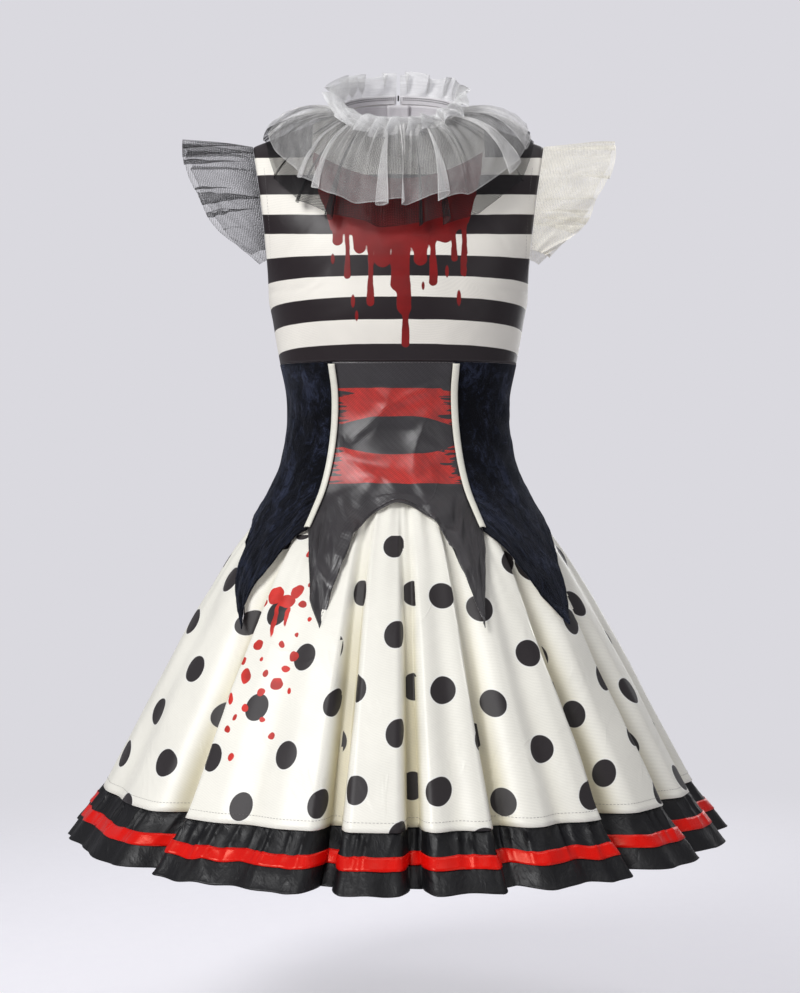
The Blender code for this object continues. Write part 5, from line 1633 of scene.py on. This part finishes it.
ARMHOLE_STITCH, BAND_STITCH = 10.0, 1.6     # how far a row of stitches lies from the edge that it holds
BAND_STITCHED = ((104.0, 176.0), (-176.0, -104.0))     # angles between which the neck band is sewn
BAND_ROW_GAP, BAND_STITCH_SEAT = 2.2, 0.25     # between its two rows, and how far inwards they lie
WAIST_STITCH = 0.35      # share of the way from the panel's first row to its second
HOOK_SEAT = (1.2, 2.0)   # how far inwards and down from the band's top the hook is
ARMHOLE_ROWS = (0.20, 0.62)      # shares of the bodice's rows between which the armhole is sewn
HOOK = ((-1.0, 1.0), (-0.5, 0.5), (-3.2, 3.2))


def row_from_edge(grid, distance, axis=0, last=True):
    """A line across a grid at that distance from its last row, or from the first or last column."""
    run = lengths_along(grid, axis)
    grid, run = np.moveaxis(grid, axis, 0), np.moveaxis(run, axis, 0)
    line = []
    for k in range(grid.shape[1]):
        at = run[-1, k] - distance if last else distance
        line.append(at_lengths(grid[:, k], run[:, k], at))
    return np.array(line)


def make_sewing(bodice, panels):
    """Rows of stitches at the waist, the satin's cut edge, the armholes and the neck band, and the hook."""
    outside = moved_out(panels["waist_front"], SATIN_WALL + WAIST_LIFT)
    stitches("satin_edge_stitching", [row_from_edge(outside, EDGE_STITCH)[2:-2]], "dark thread",
             thick=0.6)
    seam = outside[0] * (1 - WAIST_STITCH) + outside[1] * WAIST_STITCH
    stitches("waist_seam_stitching", [seam], "grey thread", thick=0.45)
    front = moved_out(bodice["front"], BODICE_WALL + LINING_LIFT)
    start, end = (int(len(front) * share) for share in ARMHOLE_ROWS)
    lines = [row_from_edge(front, ARMHOLE_STITCH, 1, last)[start:end] for last in (True, False)]
    stitches("armhole_stitching", lines, "grey thread", thick=0.3)
    inside = EASE + CLOTH - BAND_WALL
    lines = []
    for low, high in BAND_STITCHED:
        for up in (BAND_HEIGHT - BAND_STITCH, BAND_HEIGHT - BAND_STITCH - BAND_ROW_GAP):
            lines.append(neck_ring(np.linspace(low, high, 60), inside - BAND_STITCH_SEAT, up))
    stitches("neck_band_stitching", lines, "dark thread", size=1.5, gap=0.9, thick=0.7)
    middle = neck_ring(np.array([180.0]), inside - HOOK_SEAT[0], BAND_HEIGHT - HOOK_SEAT[1])[0]
    corners = [middle + np.array(corner) for corner in itertools.product(*HOOK)]
    mesh_object("neck_hook", corners, BOX_FACES, "dark thread", smooth_angle=20.0)


# ---------------------------------------------------------------- stage

CAMERA_PLACE = (0.002, -2.150, -0.345)
CAMERA_TILT = math.atan(0.053 / 2.150)
FOCAL_LENGTH = 67.8
FLOOR_GLOW, FLOOR_RADIUS, FLOOR_FADE = 0.43, 3.2, (1.15, 2.2)
FLOOR_SIDES = 64
ROOM_LIGHT = 0.36
LIGHTS = (          # name, place, aimed at, width, height, power
    ("key", (-1.7, -2.1, 1.35), (0, 0, -0.35), 1.3, 1.3, 71.0),
    ("fill", (2.4, -2.2, 0.2), (0, 0, -0.4), 1.6, 2.2, 9.0),
    ("top", (0.3, 0.2, 2.2), (0, 0, -0.3), 2.0, 1.6, 14.0),
    ("back", (0.9, 2.6, 0.5), (0, 0, -0.4), 2.2, 2.2, 26.0),
)


def aimed(place, target):
    return (Vector(target) - Vector(place)).to_track_quat("-Z", "Y").to_euler()


def linked(name, data, place):
    made = bpy.data.objects.new(name, data)
    made.location = place
    bpy.context.scene.collection.objects.link(made)
    return made


def make_camera_and_lights():
    camera = linked("camera", bpy.data.cameras.new("camera"), CAMERA_PLACE)
    camera.data.lens = FOCAL_LENGTH
    camera.rotation_euler = (math.pi / 2 - CAMERA_TILT, 0, 0)
    bpy.context.scene.camera = camera
    for name, place, target, width, height, power in LIGHTS:
        light = bpy.data.lights.new(name, "AREA")
        light.shape, light.size, light.size_y, light.energy = "RECTANGLE", width, height, power
        linked(name, light, place).rotation_euler = aimed(place, target)


def make_room(backdrop):
    """Even surroundings, which the camera sees a little brighter than they light."""
    world = bpy.data.worlds.new("studio")
    world.use_nodes = True
    bpy.context.scene.world = world
    n = Nodes(world.node_tree)
    n.tree.nodes.clear()
    lighting = n.add("Background", {"Color": backdrop, "Strength": ROOM_LIGHT})
    seen = n.add("Background", {"Color": backdrop, "Strength": 1.0})
    path = n.add("LightPath")
    mixed = n.add("MixShader", {0: path.outputs["Is Camera Ray"], 1: lighting.outputs[0], 2: seen.outputs[0]})
    n.add("OutputWorld", {"Surface": mixed.outputs[0]})


def make_floor(c, drop):
    """A round floor that fades into the surroundings."""
    n, shader = new_material("stage floor")
    place = n.add("NewGeometry").outputs["Position"]
    away = n.add("VectorMath", {0: place}, operation="LENGTH").outputs["Value"]
    speckle = n.noise(place, 40.0, detail=3.0)
    n.put(shader.inputs["Alpha"], n.band(away, *FLOOR_FADE, 1.0, 0.0))
    finish_material(n, shader, n.darker(c.backdrop, n.band(speckle, 0.3, 0.7, 0.985, 1.0)),
                    n.band(speckle, 0.0, 1.0, 0.85, 0.95), speckle, strength=0.05,
                    Emission_Color=(*c.backdrop, 1.0), Emission_Strength=FLOOR_GLOW)
    mesh = bpy.data.meshes.new("floor")
    turns = [k * math.pi / (FLOOR_SIDES // 2) for k in range(FLOOR_SIDES)]
    ring = [(FLOOR_RADIUS * math.cos(turn), FLOOR_RADIUS * math.sin(turn), 0.0) for turn in turns]
    mesh.from_pydata(ring, [], [tuple(range(FLOOR_SIDES))])
    mesh.materials.append(material("stage floor"))
    floor = linked("floor", mesh, (0.0, 0.0, -drop))


def make_stage():
    scene = bpy.context.scene
    c = scene.costume_colours
    scene.view_settings.view_transform = "Standard"
    make_camera_and_lights()
    make_room((*c.backdrop, 1.0))
    make_floor(c, scene.costume_sizes.floor_drop)


# ---------------------------------------------------------------- add-on

class COSTUME_OT_materials(Operator):
    """Make the shared node groups and every material"""

    bl_idname = "costume.make_materials"
    bl_label = "Materials"

    def execute(self, context):
        build_groups()
        build_materials(context.scene)
        return {"FINISHED"}


class COSTUME_OT_bodice(Operator):
    """Make the striped bodice with its dripping print"""

    bl_idname = "costume.make_bodice"
    bl_label = "Bodice"

    def execute(self, context):
        make_bodice()
        return {"FINISHED"}


class COSTUME_OT_waist(Operator):
    """Make the satin and velvet waist panels and the piping on their seams"""

    bl_idname = "costume.make_waist"
    bl_label = "Waist panels and piping"

    def execute(self, context):
        make_waist()
        make_piping()
        return {"FINISHED"}


class COSTUME_OT_skirt(Operator):
    """Make the dotted skirt, its hem ruffle and the ribbon"""

    bl_idname = "costume.make_skirt"
    bl_label = "Skirt, ruffle and ribbon"

    def execute(self, context):
        make_skirt()
        return {"FINISHED"}


class COSTUME_OT_collar(Operator):
    """Make the neck band, both collar layers and the standing frill"""

    bl_idname = "costume.make_collar"
    bl_label = "Collar and frill"

    def execute(self, context):
        make_band()
        make_collars()
        make_neck_frill()
        return {"FINISHED"}


class COSTUME_OT_sleeves(Operator):
    """Make the two flutter sleeves of net"""

    bl_idname = "costume.make_sleeves"
    bl_label = "Sleeves"

    def execute(self, context):
        make_sleeves()
        return {"FINISHED"}


class COSTUME_OT_zip(Operator):
    """Make the zip tape and its teeth, and finish the slider and pull"""

    bl_idname = "costume.make_zip"
    bl_label = "Zip"

    def execute(self, context):
        make_zip()
        return {"FINISHED"}


class COSTUME_OT_sewing(Operator):
    """Make the visible rows of stitches and the hook at the neck"""

    bl_idname = "costume.make_sewing"
    bl_label = "Sewing"

    def execute(self, context):
        make_sewing(bodice_sheets(), waist_sheets())
        return {"FINISHED"}


class COSTUME_OT_stage(Operator):
    """Make the camera, the lights, the surroundings and the floor"""

    bl_idname = "costume.make_stage"
    bl_label = "Stage"

    def execute(self, context):
        make_stage()
        return {"FINISHED"}


OPERATORS = (COSTUME_OT_materials, COSTUME_OT_bodice, COSTUME_OT_waist, COSTUME_OT_skirt, COSTUME_OT_collar,
             COSTUME_OT_sleeves, COSTUME_OT_zip, COSTUME_OT_sewing, COSTUME_OT_stage)


class COSTUME_PT_panel(Panel):
    """Sizes, colours and pieces of the costume"""

    bl_idname = "COSTUME_PT_panel"
    bl_label = "Clown costume"
    bl_space_type = "VIEW_3D"
    bl_region_type = "UI"
    bl_category = "Costume"

    def draw(self, context):
        layout = self.layout
        for group in (context.scene.costume_colours, context.scene.costume_sizes):
            box = layout.box()
            for key in group.__annotations__:
                box.prop(group, key)
        for kind in OPERATORS:
            layout.operator(kind.bl_idname)


CLASSES = (CostumeColours, CostumeSizes, *OPERATORS, COSTUME_PT_panel)


def register():
    for kind in CLASSES:
        bpy.utils.register_class(kind)
    bpy.types.Scene.costume_colours = PointerProperty(type=CostumeColours)
    bpy.types.Scene.costume_sizes = PointerProperty(type=CostumeSizes)


def unregister():
    del bpy.types.Scene.costume_sizes
    del bpy.types.Scene.costume_colours
    for kind in reversed(CLASSES):
        bpy.utils.unregister_class(kind)


def main():
    register()
    for kind in OPERATORS:
        group, name = kind.bl_idname.split(".")
        getattr(getattr(bpy.ops, group), name)()


if __name__ == "__main__":
    main()
